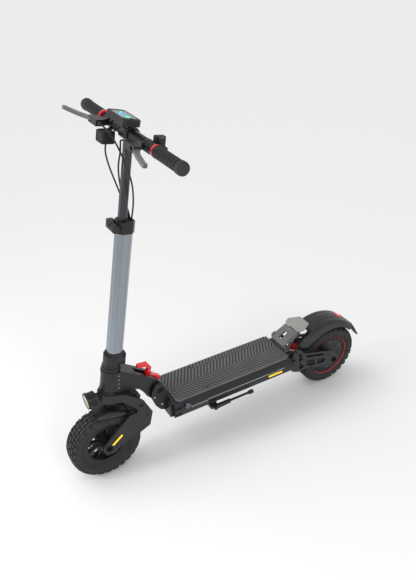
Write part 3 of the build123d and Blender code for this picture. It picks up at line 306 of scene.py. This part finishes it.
def addBevel(piece, width, segments=2, angle=32):
    soften = piece.modifiers.new("soften", "BEVEL")
    soften.width = width * mm
    soften.segments = segments
    soften.limit_method = "ANGLE"
    soften.angle_limit = radians(angle)
    even = piece.modifiers.new("even", "WEIGHTED_NORMAL")
    even.keep_sharp = False


# springs copied as separate pieces in place of the carried-over ones
def makeSpring(node):
    source = frame["nodes"][node]
    spring = bpy.data.objects.new(node + "_coil", source.data.copy())
    bpy.context.scene.collection.objects.link(spring)
    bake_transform(spring)
    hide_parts(node)


makeSpring("front_springs")
shockTop = Vector(joints["shock_swing"]["pos_m"])
slideAxis = Vector(joints["shock_slide"]["axis"]).normalized()
coilLow, coilHigh = (Vector(corner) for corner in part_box("shock_spring"))
reach = [(corner - shockTop).dot(slideAxis) for corner in (coilLow, coilHigh)]
makeSpring("shock_spring")
print("springs done")


# tyres with moulded blocks
# block outlines hold (share of the pitch round the tyre, millimetres from the middle)
tyre = {"blocks": 27, "top": 127.3, "floor": 122.6, "halfWidth": 38.0, "blockRoot": 6.0, "blockTaper": 0.07,
        "frontHalf": [(0.02, 1.0), (0.40, 1.0), (0.50, 7.0), (0.42, 14.5), (0.06, 14.5), (0.14, 7.0)],
        "rearHalf": [(0.46, 1.0), (0.86, 1.0), (0.94, 7.0), (0.86, 14.5), (0.48, 14.5), (0.56, 7.0)],
        "inner": [(0.04, 17.2), (0.44, 17.2), (0.48, 27.0), (0.10, 27.0)],
        "innerRear": [(0.50, 17.2), (0.88, 17.2), (0.90, 27.0), (0.54, 27.0)],
        "shoulder": [(0.12, 29.2), (0.90, 29.2), (0.84, 33.0), (0.84, 36.6), (0.16, 36.6), (0.16, 33.0)],
        "wall": [(111.5, 36.2), (107.5, 37.6), (102.5, 37.9), (98.0, 37.0), (93.5, 34.6), (92.6, 33.4),
                 (88.5, 31.6), (85.6, 29.4), (84.2, 28.2), (84.2, 25.2), (76.2, 23.2), (76.2, 17), (88, 19),
                 (100, 31), (113, 26), (117, 0)]}
wallRibs = {"count": 60, "side": 37.3, "middle": 101, "slope": 0.12, "low": 97.5, "high": 104.5,
            "share": 0.14, "root": 1.0, "proud": 0.55}


def crownDrop(side):  # how far the tread falls away towards the shoulder
    t = abs(side) / tyre["halfWidth"]
    return 1.4 * t ** 2 + 9.0 * t ** 5


def tyrePoint(centre, turn, side, radius):
    return centre + Vector((cos(turn) * radius, side, sin(turn) * radius)) * mm


def makeTyre(name, node, body):
    centre = nodeMiddle(node)
    shell = [(tyre["floor"] - crownDrop(s), s) for s in (0, 6, 12, 18, 24, 28.5, 32)]
    shell += tyre["wall"]
    profile = shell + [(r, -s) for r, s in reversed(shell[1:-1])]
    parts = [lathe(profile, centre, across, 120, closed=True)]
    pitch = 2 * pi / tyre["blocks"]
    rows = [(0.0, tyre["frontHalf"]), (0.0, tyre["rearHalf"]), (0.5, tyre["inner"]), (0.5, tyre["innerRear"]),
            (0.0, tyre["shoulder"])]
    for k in range(tyre["blocks"]):
        for sign in (1, -1):
            shift = 0.0 if sign > 0 else 0.5
            for rowShift, block in rows:
                def place(t, s, level):
                    turn = (k + t + shift + rowShift) * pitch
                    radius = tyre["top"] - crownDrop(s) + level
                    return tyrePoint(centre, turn, sign * s, radius)
                points, faces = prism(block, place, -tyre["blockRoot"], 0.0, tyre["blockTaper"])
                if sign < 0:
                    faces = [face[::-1] for face in faces]
                parts.append((points, faces))
    ribOutline = [(0.0, wallRibs["low"]), (wallRibs["share"], wallRibs["low"]),
                  (wallRibs["share"], wallRibs["high"]), (0.0, wallRibs["high"])]
    for k in range(wallRibs["count"]):  # fine ribs on the lower side wall
        for sign in (1, -1):
            def place(t, r, level):
                side = wallRibs["side"] - abs(r - wallRibs["middle"]) * wallRibs["slope"] + level
                return tyrePoint(centre, (k + t) * 2 * pi / wallRibs["count"], sign * side, r)
            parts.append(prism(ribOutline, place, -wallRibs["root"], wallRibs["proud"]))
    points, faces = joinPieces(parts)
    makeMesh(name, points, faces, finishes["tyre_rubber"], body, [node], 30)


makeTyre("front tyre with tread", "front_tyre", "front_wheel")
makeTyre("rear tyre with tread", "rear_tyre", "rear_wheel")
print("tyres done")


# deck mat with a herringbone relief
mat = {"pitch": 13.6, "sweep": 0.6, "relief": 1.6, "steepness": 14, "edge": 5.5, "edgeDrop": 0.7,
       "chamfer": 10, "lines": 53, "linesStart": 112, "lineHalf": 2.2, "bandHalf": 4.4, "jogReach": 14,
       "jogHalf": 2.6, "stepsAlong": 470, "stepsAcross": 154}


def matHeight(x, y, halfX, halfY):
    edgeX, edgeY = halfX - abs(x), halfY - abs(y)
    if min(edgeX, edgeY) < mat["edge"] or edgeX + edgeY < mat["chamfer"] + mat["edge"]:
        return 0.0
    outside = abs(y) - mat["lines"]
    jog = mat["jogReach"] - abs(x - mat["linesStart"])  # the two long lines start with a slanted step
    if x < mat["linesStart"] and abs(outside) < mat["lineHalf"]:
        return -mat["relief"]
    if jog > 0 and 0 < outside < mat["jogReach"] and abs(outside - jog) < mat["jogHalf"]:
        return -mat["relief"]
    if x < mat["linesStart"] and abs(outside) < mat["bandHalf"]:
        return 0.0
    shift = 0.5 * mat["pitch"] if outside > 0 and x < mat["linesStart"] else 0
    wave = (x + mat["sweep"] * abs(y) + shift) / mat["pitch"] % 1.0
    depth = min(1, max(0, min(wave, 0.5 - wave) * mat["steepness"])) if wave < 0.5 else 0
    return -mat["relief"] * depth


def makeMat():
    low, high = (Vector(c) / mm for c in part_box("deck_mat"))
    centre = (low + high) / 2
    halfX, halfY = (high.x - low.x) / 2, (high.y - low.y) / 2
    countX, countY = mat["stepsAlong"], mat["stepsAcross"]
    points, faces = [], []
    for i in range(countX + 1):
        for j in range(countY + 1):
            y = -halfY + 2 * halfY * j / countY
            reach = halfX - max(0, abs(y) - (halfY - mat["chamfer"]))
            x = -reach + 2 * reach * i / countX
            z = high.z + matHeight(x, y, halfX, halfY)
            if i in (0, countX) or j in (0, countY):
                z -= mat["edgeDrop"]
            points.append(Vector((centre.x + x, centre.y + y, z)) * mm)
    row = countY + 1
    for i in range(countX):
        for j in range(countY):
            faces.append([i * row + j, (i + 1) * row + j, (i + 1) * row + j + 1, i * row + j + 1])
    rim = [i * row for i in range(countX + 1)] + [countX * row + j for j in range(1, countY + 1)]
    rim += [i * row + countY for i in reversed(range(countX))] + list(reversed(range(1, countY)))
    start = len(points)
    points += [Vector((points[i].x, points[i].y, low.z * mm)) for i in rim]
    for k in range(len(rim)):
        n = (k + 1) % len(rim)
        faces.append([rim[n], rim[k], start + k, start + n])
    faces.append([start + k for k in reversed(range(len(rim)))])
    piece = makeMesh("herringbone deck mat", points, faces, finishes["mat_rubber"], "deck",
                     ["deck_mat"], 60)
    piece.data.materials.append(extraFinishes["painted groove shade"])
    # sunken polygons take the darker finish: painted shade in the grooves
    for polygon in piece.data.polygons:
        c = polygon.center / mm - centre
        if matHeight(c.x, c.y, halfX, halfY) < -0.4 * mat["relief"]:
            polygon.material_index = 1


makeMat()
print("deck mat done")


# silver trim along the deck's sides
trim = {"halfHeight": 1.5, "proud": 1.0, "root": 0.5, "face": 90.0}
trimPath = [(198 - 5.5 * k, 212 + 3.2 * (-1) ** k) for k in range(12)]
trimPath += [(130, 216.5), (-122, 216.5), (-134, 211), (-146, 216.5), (-158, 211), (-170, 216.5),
             (-196, 216.5)]
for sign, sideName in ((1, "left"), (-1, "right")):
    parts = []
    for (xa, za), (xb, zb) in zip(trimPath, trimPath[1:]):
        length = sqrt((xb - xa) ** 2 + (zb - za) ** 2)
        ux, uz = (xb - xa) / length, (zb - za) / length
        h = trim["halfHeight"]
        corners = [(xa - ux - uz * h, za - uz + ux * h), (xb + ux - uz * h, zb + uz + ux * h),
                   (xb + ux + uz * h, zb + uz - ux * h), (xa - ux + uz * h, za - uz - ux * h)]
        if sign > 0:
            corners = corners[::-1]
        parts.append(prism(corners, lambda a, b, level: Vector((a, sign * (trim["face"] + level), b)) * mm,
                           -trim["root"], trim["proud"]))
    points, faces = joinPieces(parts)
    makeMesh("deck trim " + sideName, points, faces, finishes["bare_alloy"], "deck")
print("deck trim done")


# ribbed grips
grip = {"low": 14.6, "high": 16.9, "groove": 16.0, "ribs": 7, "pitch": 15.0, "firstRib": 174,
        "collar": [(11.2, 166), (16.4, 166), (17.6, 167), (17.6, 171), (16.4, 172.5)],
        "flare": [(16.6, 280), (18.4, 283), (18.5, 293), (17.6, 298), (14.5, 299.8), (0.01, 300)]}
gripProfile = list(grip["collar"])
for k in range(grip["ribs"]):
    start = grip["firstRib"] + k * grip["pitch"]
    gripProfile += [(grip["low"], start), (grip["high"], start + 1.0), (grip["high"], start + 5.0),
                    (grip["groove"], start + 5.5), (grip["groove"], start + 6.5), (grip["high"], start + 7.0),
                    (grip["high"], start + 11.0), (grip["low"], start + 12.0)]
gripProfile += grip["flare"]
barMiddle = stemPoint(0, 0, barHeight)
for sign, sideName in ((1, "left"), (-1, "right")):
    points, faces = lathe(gripProfile, barMiddle, across * sign, 48)
    makeMesh("ribbed grip " + sideName, points, faces, finishes["grip_rubber"], "handlebar",
             ["grips"] if sign > 0 else (), 25)
print("grips done")


# wide stem tube: eight-sided extrusion with grooves beside its corners
tube = {"length": 48, "width": 44, "corner": 11, "centre": -8, "low": 470, "high": 912, "groove": 0.8,
        "mouth": 1.5, "bed": 0.7, "besideCorner": (1.2, 1.7, 2.9, 3.4), "edge": 0.5}


def groovedOutline():
    a, b, c, g = tube["length"] / 2, tube["width"] / 2, tube["corner"], tube["groove"]
    mouth, bed = tube["mouth"], tube["bed"]
    quarter = [(a, -b + c), (a, -mouth), (a - g, -bed), (a - g, bed), (a, mouth), (a, b - c)]
    g0, g1, g2, g3 = tube["besideCorner"]
    top = [(a - c, b), (a - c - g0, b), (a - c - g1, b - g), (a - c - g2, b - g), (a - c - g3, b)]
    ring = quarter + top
    ring += [(-x, y) for x, y in reversed(top)]
    ring += [(-x, -y) for x, y in quarter]
    ring += [(-x, -y) for x, y in top]
    ring += [(x, -y) for x, y in reversed(top)]
    return [(x + tube["centre"], y) for x, y in ring]


points, faces = prism(groovedOutline(), stemPoint, tube["low"], tube["high"])
wideTube = makeMesh("grooved stem tube", points, faces, finishes["silver_tube"], "fork",
                    ["stem_tube"], 20)
addBevel(wideTube, tube["edge"], 2, 25)
print("stem tube done")


# fenders as thin rounded shells
fenderShape = {"flatPart": 0.62, "bendEnd": 0.84, "skirtPart": 0.16, "flatShare": 0.72, "bendShare": 0.28,
               "crown": 0.9, "stepsAcross": 48, "edge": 0.7}


def fenderSection(t, half, radius, depth, rounding):
    # t from -1 to 1 across the shell; returns (radius, side)
    s = abs(t)
    flatPart, bendEnd, crown = fenderShape["flatPart"], fenderShape["bendEnd"], fenderShape["crown"]
    if s < flatPart:
        side, drop = half * (s / flatPart) * fenderShape["flatShare"], crown * (s / flatPart) ** 2
    elif s < bendEnd:
        k = (s - flatPart) / (bendEnd - flatPart) * pi / 2
        side = half * fenderShape["flatShare"] + half * fenderShape["bendShare"] * sin(k)
        drop = crown + rounding * (1 - cos(k))
    else:
        k = (s - bendEnd) / fenderShape["skirtPart"]
        side, drop = half, crown + rounding + (depth - rounding - crown) * k
    return radius - drop, side if t > 0 else -side


def ridgeRise(f, side, ridge):  # f runs from the shell's first edge to its last
    if abs(side) >= ridge["half"] or not ridge["start"] < f < ridge["end"]:
        return 0
    return ridge["rise"] * min(1, (ridge["half"] - abs(side)) / ridge["slope"],
                               (f - ridge["start"]) * ridge["ramp"], (ridge["end"] - f) * ridge["ramp"])


def makeFender(name, node, body, fender):
    stepsAcross, around = fenderShape["stepsAcross"], fender["steps"]
    centre = fender["centre"]
    points, faces = [], []
    for i in range(around + 1):
        f = i / around
        angle = radians(fender["start"] + (fender["end"] - fender["start"]) * f)
        depth = fender["depth"](f)
        for j in range(stepsAcross + 1):
            t = -1 + 2 * j / stepsAcross
            r, s = fenderSection(t, fender["half"], fender["radius"], depth, fender["round"])
            if fender["ridge"]:
                r += ridgeRise(f, s, fender["ridge"])
            points.append(centre + Vector((cos(angle) * r, s, sin(angle) * r)) * mm)
    row = stepsAcross + 1
    for i in range(around):
        for j in range(stepsAcross):
            quad = [i * row + j, i * row + j + 1, (i + 1) * row + j + 1, (i + 1) * row + j]
            middle = (points[quad[0]] + points[quad[2]]) / 2
            if fender["notch"] and middle.x > fender["notch"][0] and abs(middle.y) < fender["notch"][1]:
                continue
            faces.append(quad[::-1])
    piece = makeMesh(name, points, faces, finishes["fender_plastic"], body, [node], 40)
    shell = piece.modifiers.new("shell", "SOLIDIFY")
    shell.thickness = fender["wall"] * mm
    shell.offset = -1
    addBevel(piece, fenderShape["edge"], 2, 50)


frontWheelCentre = Vector(joints["front_wheel_spin"]["pos_m"])
rearWheelCentre = Vector(joints["rear_wheel_spin"]["pos_m"])
frontFender = {"centre": frontWheelCentre, "radius": 145.3, "half": 40, "wall": 2.4, "start": 79, "end": 122,
               "steps": 36, "round": 8, "depth": lambda f: 5 + 13 * sin(pi * f) ** 0.7, "ridge": None,
               "notch": None}
makeFender("front fender shell", "front_fender", "fork", frontFender)
fenderBracket = {"rear": -24, "front": 10, "half": 15, "low": 281, "high": 302}
a0, a1, s1 = fenderBracket["rear"], fenderBracket["front"], fenderBracket["half"]
points, faces = prism([(a0, -s1), (a1, -s1), (a1, s1), (a0, s1)], stemPoint, fenderBracket["low"],
                      fenderBracket["high"])
makeMesh("front fender bracket", points, faces, finishes["black_frame"], "fork")
rearFender = {"centre": rearWheelCentre + Vector((35, 0, -3)) * mm, "radius": 179.2, "half": 45.8,
              "wall": 2.6, "start": 42, "end": 137, "steps": 90, "round": 10,
              "depth": lambda f: 45.5 - 22 * min(1, max(0, (f - 0.3) / 0.5)),
              "ridge": {"half": 17, "start": 0.34, "end": 0.97, "rise": 1.6, "slope": 2.5, "ramp": 40},
              "notch": (rearWheelCentre.x + 0.117, 0.027)}
makeFender("rear fender shell", "rear_fender", "rear_arm", rearFender)
strut = {"behind": 76, "above": 16, "inner": 43, "radius": 7, "length": 15}
strutParts = []
for sign in (1, -1):
    strutOffset = Vector((-strut["behind"], sign * strut["inner"], strut["above"])) * mm
    strutParts.append(lathe([(strut["radius"], 0), (strut["radius"], strut["length"])],
                            Vector(joints["rear_suspension"]["pos_m"]) + strutOffset, across * sign, 24))
points, faces = joinPieces(strutParts)
makeMesh("rear fender struts", points, faces, finishes["black_frame"], "rear_arm")
print("fenders done")


# control cables, held between the bar and the collar
cableLook = {"radius": 2.4, "followsBar": 1150, "followsStem": 950}
cableRoutes = [
    [(47, -76, 1191), (47, -47, 1191), (43, -12, 1179), (34, 18, 1153), (18, 36, 1113), (-4, 37, 1062),
     (-17, 27, 1008), (-25, 12, 966), (-26, 6, 936)],
    [(47, 76, 1191), (47, 48, 1191), (32, 22, 1161), (20, -2, 1134), (18, -14, 1096), (9, -19, 1052),
     (-6, -22, 1004), (-22, -11, 966), (-26, 0, 936)],
    [(11.4, -60, 1179.6), (30, -62, 1163), (41, -60, 1130), (30, -49, 1086), (12, -38, 1042), (-6, -31, 1000),
     (-20, -20, 964), (-26, -6, 936)],
]
for number, route in enumerate(cableRoutes):
    curve = bpy.data.curves.new("control cable", "CURVE")
    curve.dimensions = "3D"
    curve.bevel_depth = cableLook["radius"] * mm
    curve.bevel_resolution = 4
    curve.resolution_u = 12
    curve.use_fill_caps = True
    line = curve.splines.new("NURBS")
    line.points.add(len(route) - 1)
    for point, place in zip(line.points, route):
        point.co = (*stemPoint(*place), 1)
    line.order_u = 3
    line.use_endpoint_u = True
    curve.materials.append(finishes["black_rubber"])
    cable = bpy.data.objects.new("cablePath", curve)
    bpy.context.scene.collection.objects.link(cable)
    depsgraph = bpy.context.evaluated_depsgraph_get()
    tubeMesh = bpy.data.meshes.new_from_object(cable.evaluated_get(depsgraph))
    tubePiece = bpy.data.objects.new("control_cable_" + str(number + 1), tubeMesh)
    bpy.context.scene.collection.objects.link(tubePiece)
    bpy.data.objects.remove(cable)
    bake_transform(tubePiece)
    if number == 0:
        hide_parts("control_cables")
print("cables done")


# horn pod under the right of the bar
horn = {"ahead": (18, 56), "side": (-84, -42), "height": (1146, 1180), "edge": 4,
        "slats": 4, "slatPitch": 6.2, "slatWidth": 2.6, "firstSlat": 6.5, "slatInset": 5, "frameInset": 2.2}
a0, a1 = horn["ahead"]
s0, s1 = horn["side"]
h0, h1 = horn["height"]
points, faces = prism([(a0, s0), (a1, s0), (a1, s1), (a0, s1)], stemPoint, h0, h1)
hornCase = makeMesh("horn case", points, faces, finishes["black_plastic"], "handlebar")
addBevel(hornCase, horn["edge"], 4)
slatParts = []
slat, frameInset = horn["slatInset"], horn["frameInset"]
slatOutline = [(a1 - 1, s0 + slat), (a1 + 1.4, s0 + slat), (a1 + 1.4, s1 - slat), (a1 - 1, s1 - slat)]
frameOutline = [(a1 - 1, s0 + frameInset), (a1 + 2, s0 + frameInset), (a1 + 2, s1 - frameInset),
                (a1 - 1, s1 - frameInset)]
for k in range(horn["slats"]):
    level = h0 + horn["firstSlat"] + k * horn["slatPitch"]
    slatParts.append(prism(slatOutline, stemPoint, level, level + horn["slatWidth"]))
for side in (s0 + frameInset, s1 - frameInset - 2):
    post = [(a1 - 1, side), (a1 + 2, side), (a1 + 2, side + 2), (a1 - 1, side + 2)]
    slatParts.append(prism(post, stemPoint, h0 + 3, h1 - 3))
for level in (h0 + 2, h1 - 4):
    slatParts.append(prism(frameOutline, stemPoint, level, level + 2))
points, faces = joinPieces(slatParts)
makeMesh("horn grille", points, faces, finishes["grey_cast"], "handlebar")
hornBracket = {"ring": [(16, -6), (18.4, -6), (18.4, 6), (16, 6)], "side": -84,
               "arm": [(12, -90), (26, -78), (26, -60), (12, -78)], "armLow": 1176, "armHigh": 1182}
ringMiddle = stemPoint(0, hornBracket["side"], barHeight)
ring = lathe(hornBracket["ring"], ringMiddle, across, 40, closed=True)
arm = prism(hornBracket["arm"], stemPoint, hornBracket["armLow"], hornBracket["armHigh"])
points, faces = joinPieces([ring, arm])
makeMesh("horn bracket", points, faces, finishes["black_frame"], "handlebar")
print("horn done")


# display graphics, plain bars and an arc
display = {"origin": nodeMiddle("display_screen"), "tilt": radians(14), "low": 0.4, "high": 1.0,
           "arcSteps": 22, "arcStart": -20, "arcPitch": 10, "arcLength": 7, "arcOuter": (12.5, 14.5),
           "arcInner": (9.8, 11.6), "bars": 5, "barPitch": 2.6, "barWidth": 1.6, "barGrowth": 1.2}
screenAhead = Vector((cos(display["tilt"]), 0, sin(display["tilt"])))
screenUp = Vector((-sin(display["tilt"]), 0, cos(display["tilt"])))


def screenPoint(a, s, level):
    return display["origin"] + (screenAhead * a + across * s + screenUp * level) * mm


arcParts = []
outerA, outerS = display["arcOuter"]
innerA, innerS = display["arcInner"]
for k in range(display["arcSteps"]):
    firstAngle = display["arcStart"] + k * display["arcPitch"]
    t0, t1 = radians(firstAngle), radians(firstAngle + display["arcLength"])
    corners = [(outerA * sin(t), outerS * cos(t)) for t in (t0, t1)]
    corners += [(innerA * sin(t), innerS * cos(t)) for t in (t1, t0)]
    arcParts.append(prism(corners, screenPoint, display["low"], display["high"]))
points, faces = joinPieces(arcParts)
makeMesh("display arc", points, faces, extraFinishes["screen cyan"], "handlebar")
barParts = []
for k in range(display["bars"]):
    step, width, low = k * display["barPitch"], display["barWidth"], -6 + k * display["barGrowth"]
    growing = [(low, 22 + step), (7, 22 + step), (7, 22 + width + step), (low, 22 + width + step)]
    level = [(-7, -24 - step), (-3, -24 - step), (-3, -24 + width - step), (-7, -24 + width - step)]
    barParts.append(prism(growing, screenPoint, display["low"], display["high"]))
    barParts.append(prism(level, screenPoint, display["low"], display["high"]))
points, faces = joinPieces(barParts)
makeMesh("display bars", points, faces, extraFinishes["screen green"], "handlebar")
print("display done")


# screws, rivets, rings and other small metal
# offsets are millimetres from the named pivot: (ahead, up)
screws = {"cheekBright": [(28, -13), (1, -53)], "cheekDark": [(-24, -40)],
          "swingarm": [(-12, 40), (-92, -60), (-176, -34)], "hubCover": 6, "hubRadius": 62, "disc": 6,
          "discRadius": 17, "barClampHeights": (1183, 1199), "stemClampHeights": (448, 474)}
rivets = {"count": 4, "ahead": 142, "lean": 1.4, "up": 121, "pitch": 16,
          "profile": [(0.01, 1.3), (1.4, 1.0), (2.2, 0), (2.2, -1)]}
screwParts = {"deck": [], "fork": [], "handlebar": [], "rear_arm": [], "front_wheel": [], "front_arms": []}
brightParts = {"deck": [], "neck": [], "rear_wheel": []}
foldPin = Vector(joints["fold_hinge"]["pos_m"])
swingPin = Vector(joints["rear_suspension"]["pos_m"])
frontPivot = Vector(joints["front_suspension"]["pos_m"])


def near(pivot, ahead, side, up):
    return pivot + Vector((ahead, side, up)) * mm


for sign in (1, -1):
    outward = across * sign
    for ahead, up in screws["cheekBright"]:
        brightParts["deck"].append(socketScrew(near(foldPin, ahead, sign * 45.6, up), outward, 4.2, 3.6))
    for ahead, up in screws["cheekDark"]:
        screwParts["deck"].append(socketScrew(near(foldPin, ahead, sign * 45.4, up), outward, 4, 3.6))
    for k in range(rivets["count"]):  # beside the head tube
        ahead, up = rivets["ahead"] + rivets["lean"] * k, rivets["up"] - rivets["pitch"] * k
        spot = near(foldPin, ahead, sign * 30, up)
        brightParts["neck"].append(lathe(rivets["profile"], spot, outward, 16))
    screwParts["fork"].append(socketScrew(near(frontPivot, 0, sign * 64.2, 0), outward, 9, 4))
    screwParts["front_arms"].append(socketScrew(near(frontPivot, -24, sign * 52.5, -60), outward, 5, 2.4))
    for ahead, up in screws["swingarm"]:
        screwParts["rear_arm"].append(socketScrew(near(swingPin, ahead, sign * 69.4, up), outward, 4.2, 2.6))
    for k in range(screws["hubCover"]):
        turn = 2 * pi * (k + 0.5) / screws["hubCover"]
        reach = screws["hubRadius"]
        spot = near(rearWheelCentre, reach * cos(turn), sign * 31.5, reach * sin(turn))
        brightParts["rear_wheel"].append(socketScrew(spot, outward, 2.6, 2.2))
    for height in screws["barClampHeights"]:
        screwParts["handlebar"].append(socketScrew(stemPoint(21.5, sign * 17, height), forward, 3.4, 3))
for k in range(screws["disc"]):
    turn = 2 * pi * k / screws["disc"]
    spot = near(frontWheelCentre, screws["discRadius"] * cos(turn), -29.6, screws["discRadius"] * sin(turn))
    screwParts["front_wheel"].append(socketScrew(spot, -across, 3.2, 2.4))
for height in screws["stemClampHeights"]:
    screwParts["fork"].append(socketScrew(stemPoint(-38.5, 14.5, height), across, 4, 3))
for group, label, finish in ((screwParts, "screws on ", extraFinishes["dark bolt"]),
                             (brightParts, "bright screws on ", finishes["steel"])):
    for body, parts in group.items():
        points, faces = joinPieces(parts)
        makeMesh(label + body, points, faces, finish, body)

rimStripe = {"section": [(84.8, 29.0), (86.2, 30.6), (86.2, 31.8), (84.8, 30.4)], "segments": 96}
stripeParts = [lathe(rimStripe["section"], rearWheelCentre, across * sign, rimStripe["segments"], closed=True)
               for sign in (1, -1)]
points, faces = joinPieces(stripeParts)
makeMesh("rear rim stripe", points, faces, finishes["red_paint"], "rear_wheel")

hubCover = {"rings": (44, 30), "low": 30.2, "high": 31.6, "ribs": 24, "ribLow": 26.0, "ribHigh": 29.2,
            "rib": [(66, -1), (80, -1.6), (80, 1.6), (66, 1)]}
hubParts = []
for sign in (1, -1):
    for radius in hubCover["rings"]:
        section = [(radius, hubCover["low"]), (radius + 1.5, hubCover["high"]),
                   (radius + 4.5, hubCover["high"]), (radius + 6, hubCover["low"])]
        hubParts.append(lathe(section, rearWheelCentre, across * sign, 96, closed=True))
    for k in range(hubCover["ribs"]):
        turn = 2 * pi * k / hubCover["ribs"]

        def place(r, w, level):
            spoke = Vector((cos(turn), 0, sin(turn)))
            sideways = Vector((-sin(turn), 0, cos(turn)))
            return rearWheelCentre + (spoke * r + sideways * w + across * sign * level) * mm
        hubParts.append(prism(hubCover["rib"], place, hubCover["ribLow"], hubCover["ribHigh"]))
points, faces = joinPieces(hubParts)
makeMesh("hub cover ribs", points, faces, finishes["black_frame"], "rear_wheel")

headTube = {"heights": (362, 410), "ring": [(31, -1.2), (31.7, -0.8), (31.7, 0.8), (31, 1.2)],
            "pinCap": [(0.01, 1.6), (5.2, 1.4), (6, 0.6), (6, -0.5)]}
headRings = [lathe(headTube["ring"], stemPoint(0, 0, height), steerAxis, 72, closed=True)
             for height in headTube["heights"]]
for sign in (1, -1):  # caps over the latch pin's ends
    capSpot = Vector((foldPin.x + 32 * mm, sign * 30 * mm, foldPin.z + 55 * mm))
    headRings.append(lathe(headTube["pinCap"], capSpot, across * sign, 24))
points, faces = joinPieces(headRings)
makeMesh("head tube rings", points, faces, finishes["grey_cast"], "neck")

collarCap = {"profile": [(0.01, 3.2), (7, 3.2), (10.5, 2.2), (12, 0), (12, -2)], "spot": (27, 21, 921),
             "clampRing": [(27.5, -1), (28.6, 0), (28.6, 3), (27.5, 4)], "clampTop": 443}
capParts = [lathe(collarCap["profile"], stemPoint(*collarCap["spot"]), across, 40),
            lathe(collarCap["clampRing"], stemPoint(0, 0, collarCap["clampTop"]), steerAxis, 72, closed=True)]
points, faces = joinPieces(capParts)
makeMesh("collar cap and clamp ring", points, faces, finishes["grey_cast"], "fork")

cheekDots = {"columns": 9, "rows": 12, "pitch": 5.6, "rear": -20, "low": -44, "top": 44, "clearOfPin": 20,
             "profile": [(0.01, 0.8), (1.0, 0.6), (1.5, 0), (1.5, -0.6)], "side": 43}
dotParts = []
for sign in (1, -1):  # raised dots on the hinge cheeks
    for i in range(cheekDots["columns"]):
        for j in range(cheekDots["rows"]):
            stagger = 2.8 if i % 2 else 0
            ahead = cheekDots["rear"] + i * cheekDots["pitch"]
            up = cheekDots["low"] + j * cheekDots["pitch"] + stagger
            if sqrt(ahead ** 2 + up ** 2) < cheekDots["clearOfPin"] or up > cheekDots["top"]:
                continue
            if ahead < -22 + abs(up) * 0.12 or ahead > 30 - abs(up) * 0.28:  # the cheek's slanted edges
                continue
            dotParts.append(lathe(cheekDots["profile"], near(foldPin, ahead, sign * cheekDots["side"], up),
                                  across * sign, 8))
points, faces = joinPieces(dotParts)
makeMesh("dots on the hinge cheeks", points, faces, finishes["grey_cast"], "deck")

lampRing = {"section": [(25.2, -1.5), (26.6, 0.8), (27.6, 0.8), (27.8, -1.5)], "axis": (1, 0, -0.06)}
points, faces = joinPieces([lathe(lampRing["section"], nodeMiddle("headlight_lens"),
                                  Vector(lampRing["axis"]).normalized(), 64, closed=True)])
makeMesh("headlight ring", points, faces, extraFinishes["lamp glow"], "fork")
print("small metal done")


# floor, light and camera
studio = {"floorHalf": 30, "floorTone": (0.87, 0.87, 0.87, 1), "skyTone": (0.95, 0.95, 0.955, 1),
          "skyPower": 0.84, "sunPower": 0.62, "sunSpread": 38, "sunAim": (-0.75, 0.55, -1.35)}
edge = studio["floorHalf"]
floorMesh = bpy.data.meshes.new("floor")
floorMesh.from_pydata([(-edge, -edge, 0), (edge, -edge, 0), (edge, edge, 0), (-edge, edge, 0)], [],
                      [[0, 1, 2, 3]])
floor = bpy.data.objects.new("floor", floorMesh)
bpy.context.scene.collection.objects.link(floor)
floorFinish = bpy.data.materials.new("floor")
floorFinish.use_nodes = True
floorShader = floorFinish.node_tree.nodes["Principled BSDF"]
floorShader.inputs["Base Color"].default_value = studio["floorTone"]
floorShader.inputs["Roughness"].default_value = 0.85
floorShader.inputs["Specular IOR Level"].default_value = 0.1
floorMesh.materials.append(floorFinish)

world = bpy.data.worlds.new("studio")
bpy.context.scene.world = world
world.use_nodes = True
sky = world.node_tree.nodes["Background"]
sky.inputs["Color"].default_value = studio["skyTone"]
sky.inputs["Strength"].default_value = studio["skyPower"]

sunData = bpy.data.lights.new("window sun", "SUN")
sunData.energy = studio["sunPower"]
sunData.angle = radians(studio["sunSpread"])
sun = bpy.data.objects.new("window sun", sunData)
sun.rotation_euler = Vector(studio["sunAim"]).to_track_quat("-Z", "Y").to_euler()
bpy.context.scene.collection.objects.link(sun)
lamps = {
    "front strip": dict(place=(1.9, -0.2, 1.1), aim=(0.45, 0, 0.7), size=0.35, power=11),
    "left strip": dict(place=(0.4, 1.9, 1.5), aim=(0.4, 0, 0.6), size=0.5, power=7),
}
for lampName, lamp in lamps.items():
    light = bpy.data.lights.new(lampName, "AREA")
    light.energy = lamp["power"]
    light.size = lamp["size"]
    lightPiece = bpy.data.objects.new(lampName, light)
    lightPiece.location = lamp["place"]
    aim = Vector(lamp["aim"]) - Vector(lamp["place"])
    lightPiece.rotation_euler = aim.to_track_quat("-Z", "Y").to_euler()
    bpy.context.scene.collection.objects.link(lightPiece)

cameraSetup = {"place": (1.0115, 1.554, 1.760), "heading": -121.0, "down": 32.64, "lens": 40.52}
heading, down = radians(cameraSetup["heading"]), radians(cameraSetup["down"])
looking = Vector((cos(heading) * cos(down), sin(heading) * cos(down), -sin(down)))
camera = bpy.data.objects.new("camera", bpy.data.cameras.new("camera"))
camera.location = cameraSetup["place"]
camera.rotation_euler = looking.to_track_quat("-Z", "Y").to_euler()
camera.data.lens = cameraSetup["lens"]
camera.data.sensor_width = 36
camera.data.clip_start = 0.01
bpy.context.scene.collection.objects.link(camera)
bpy.context.scene.camera = camera
bpy.context.scene.view_settings.view_transform = "Standard"
print("light and camera done")
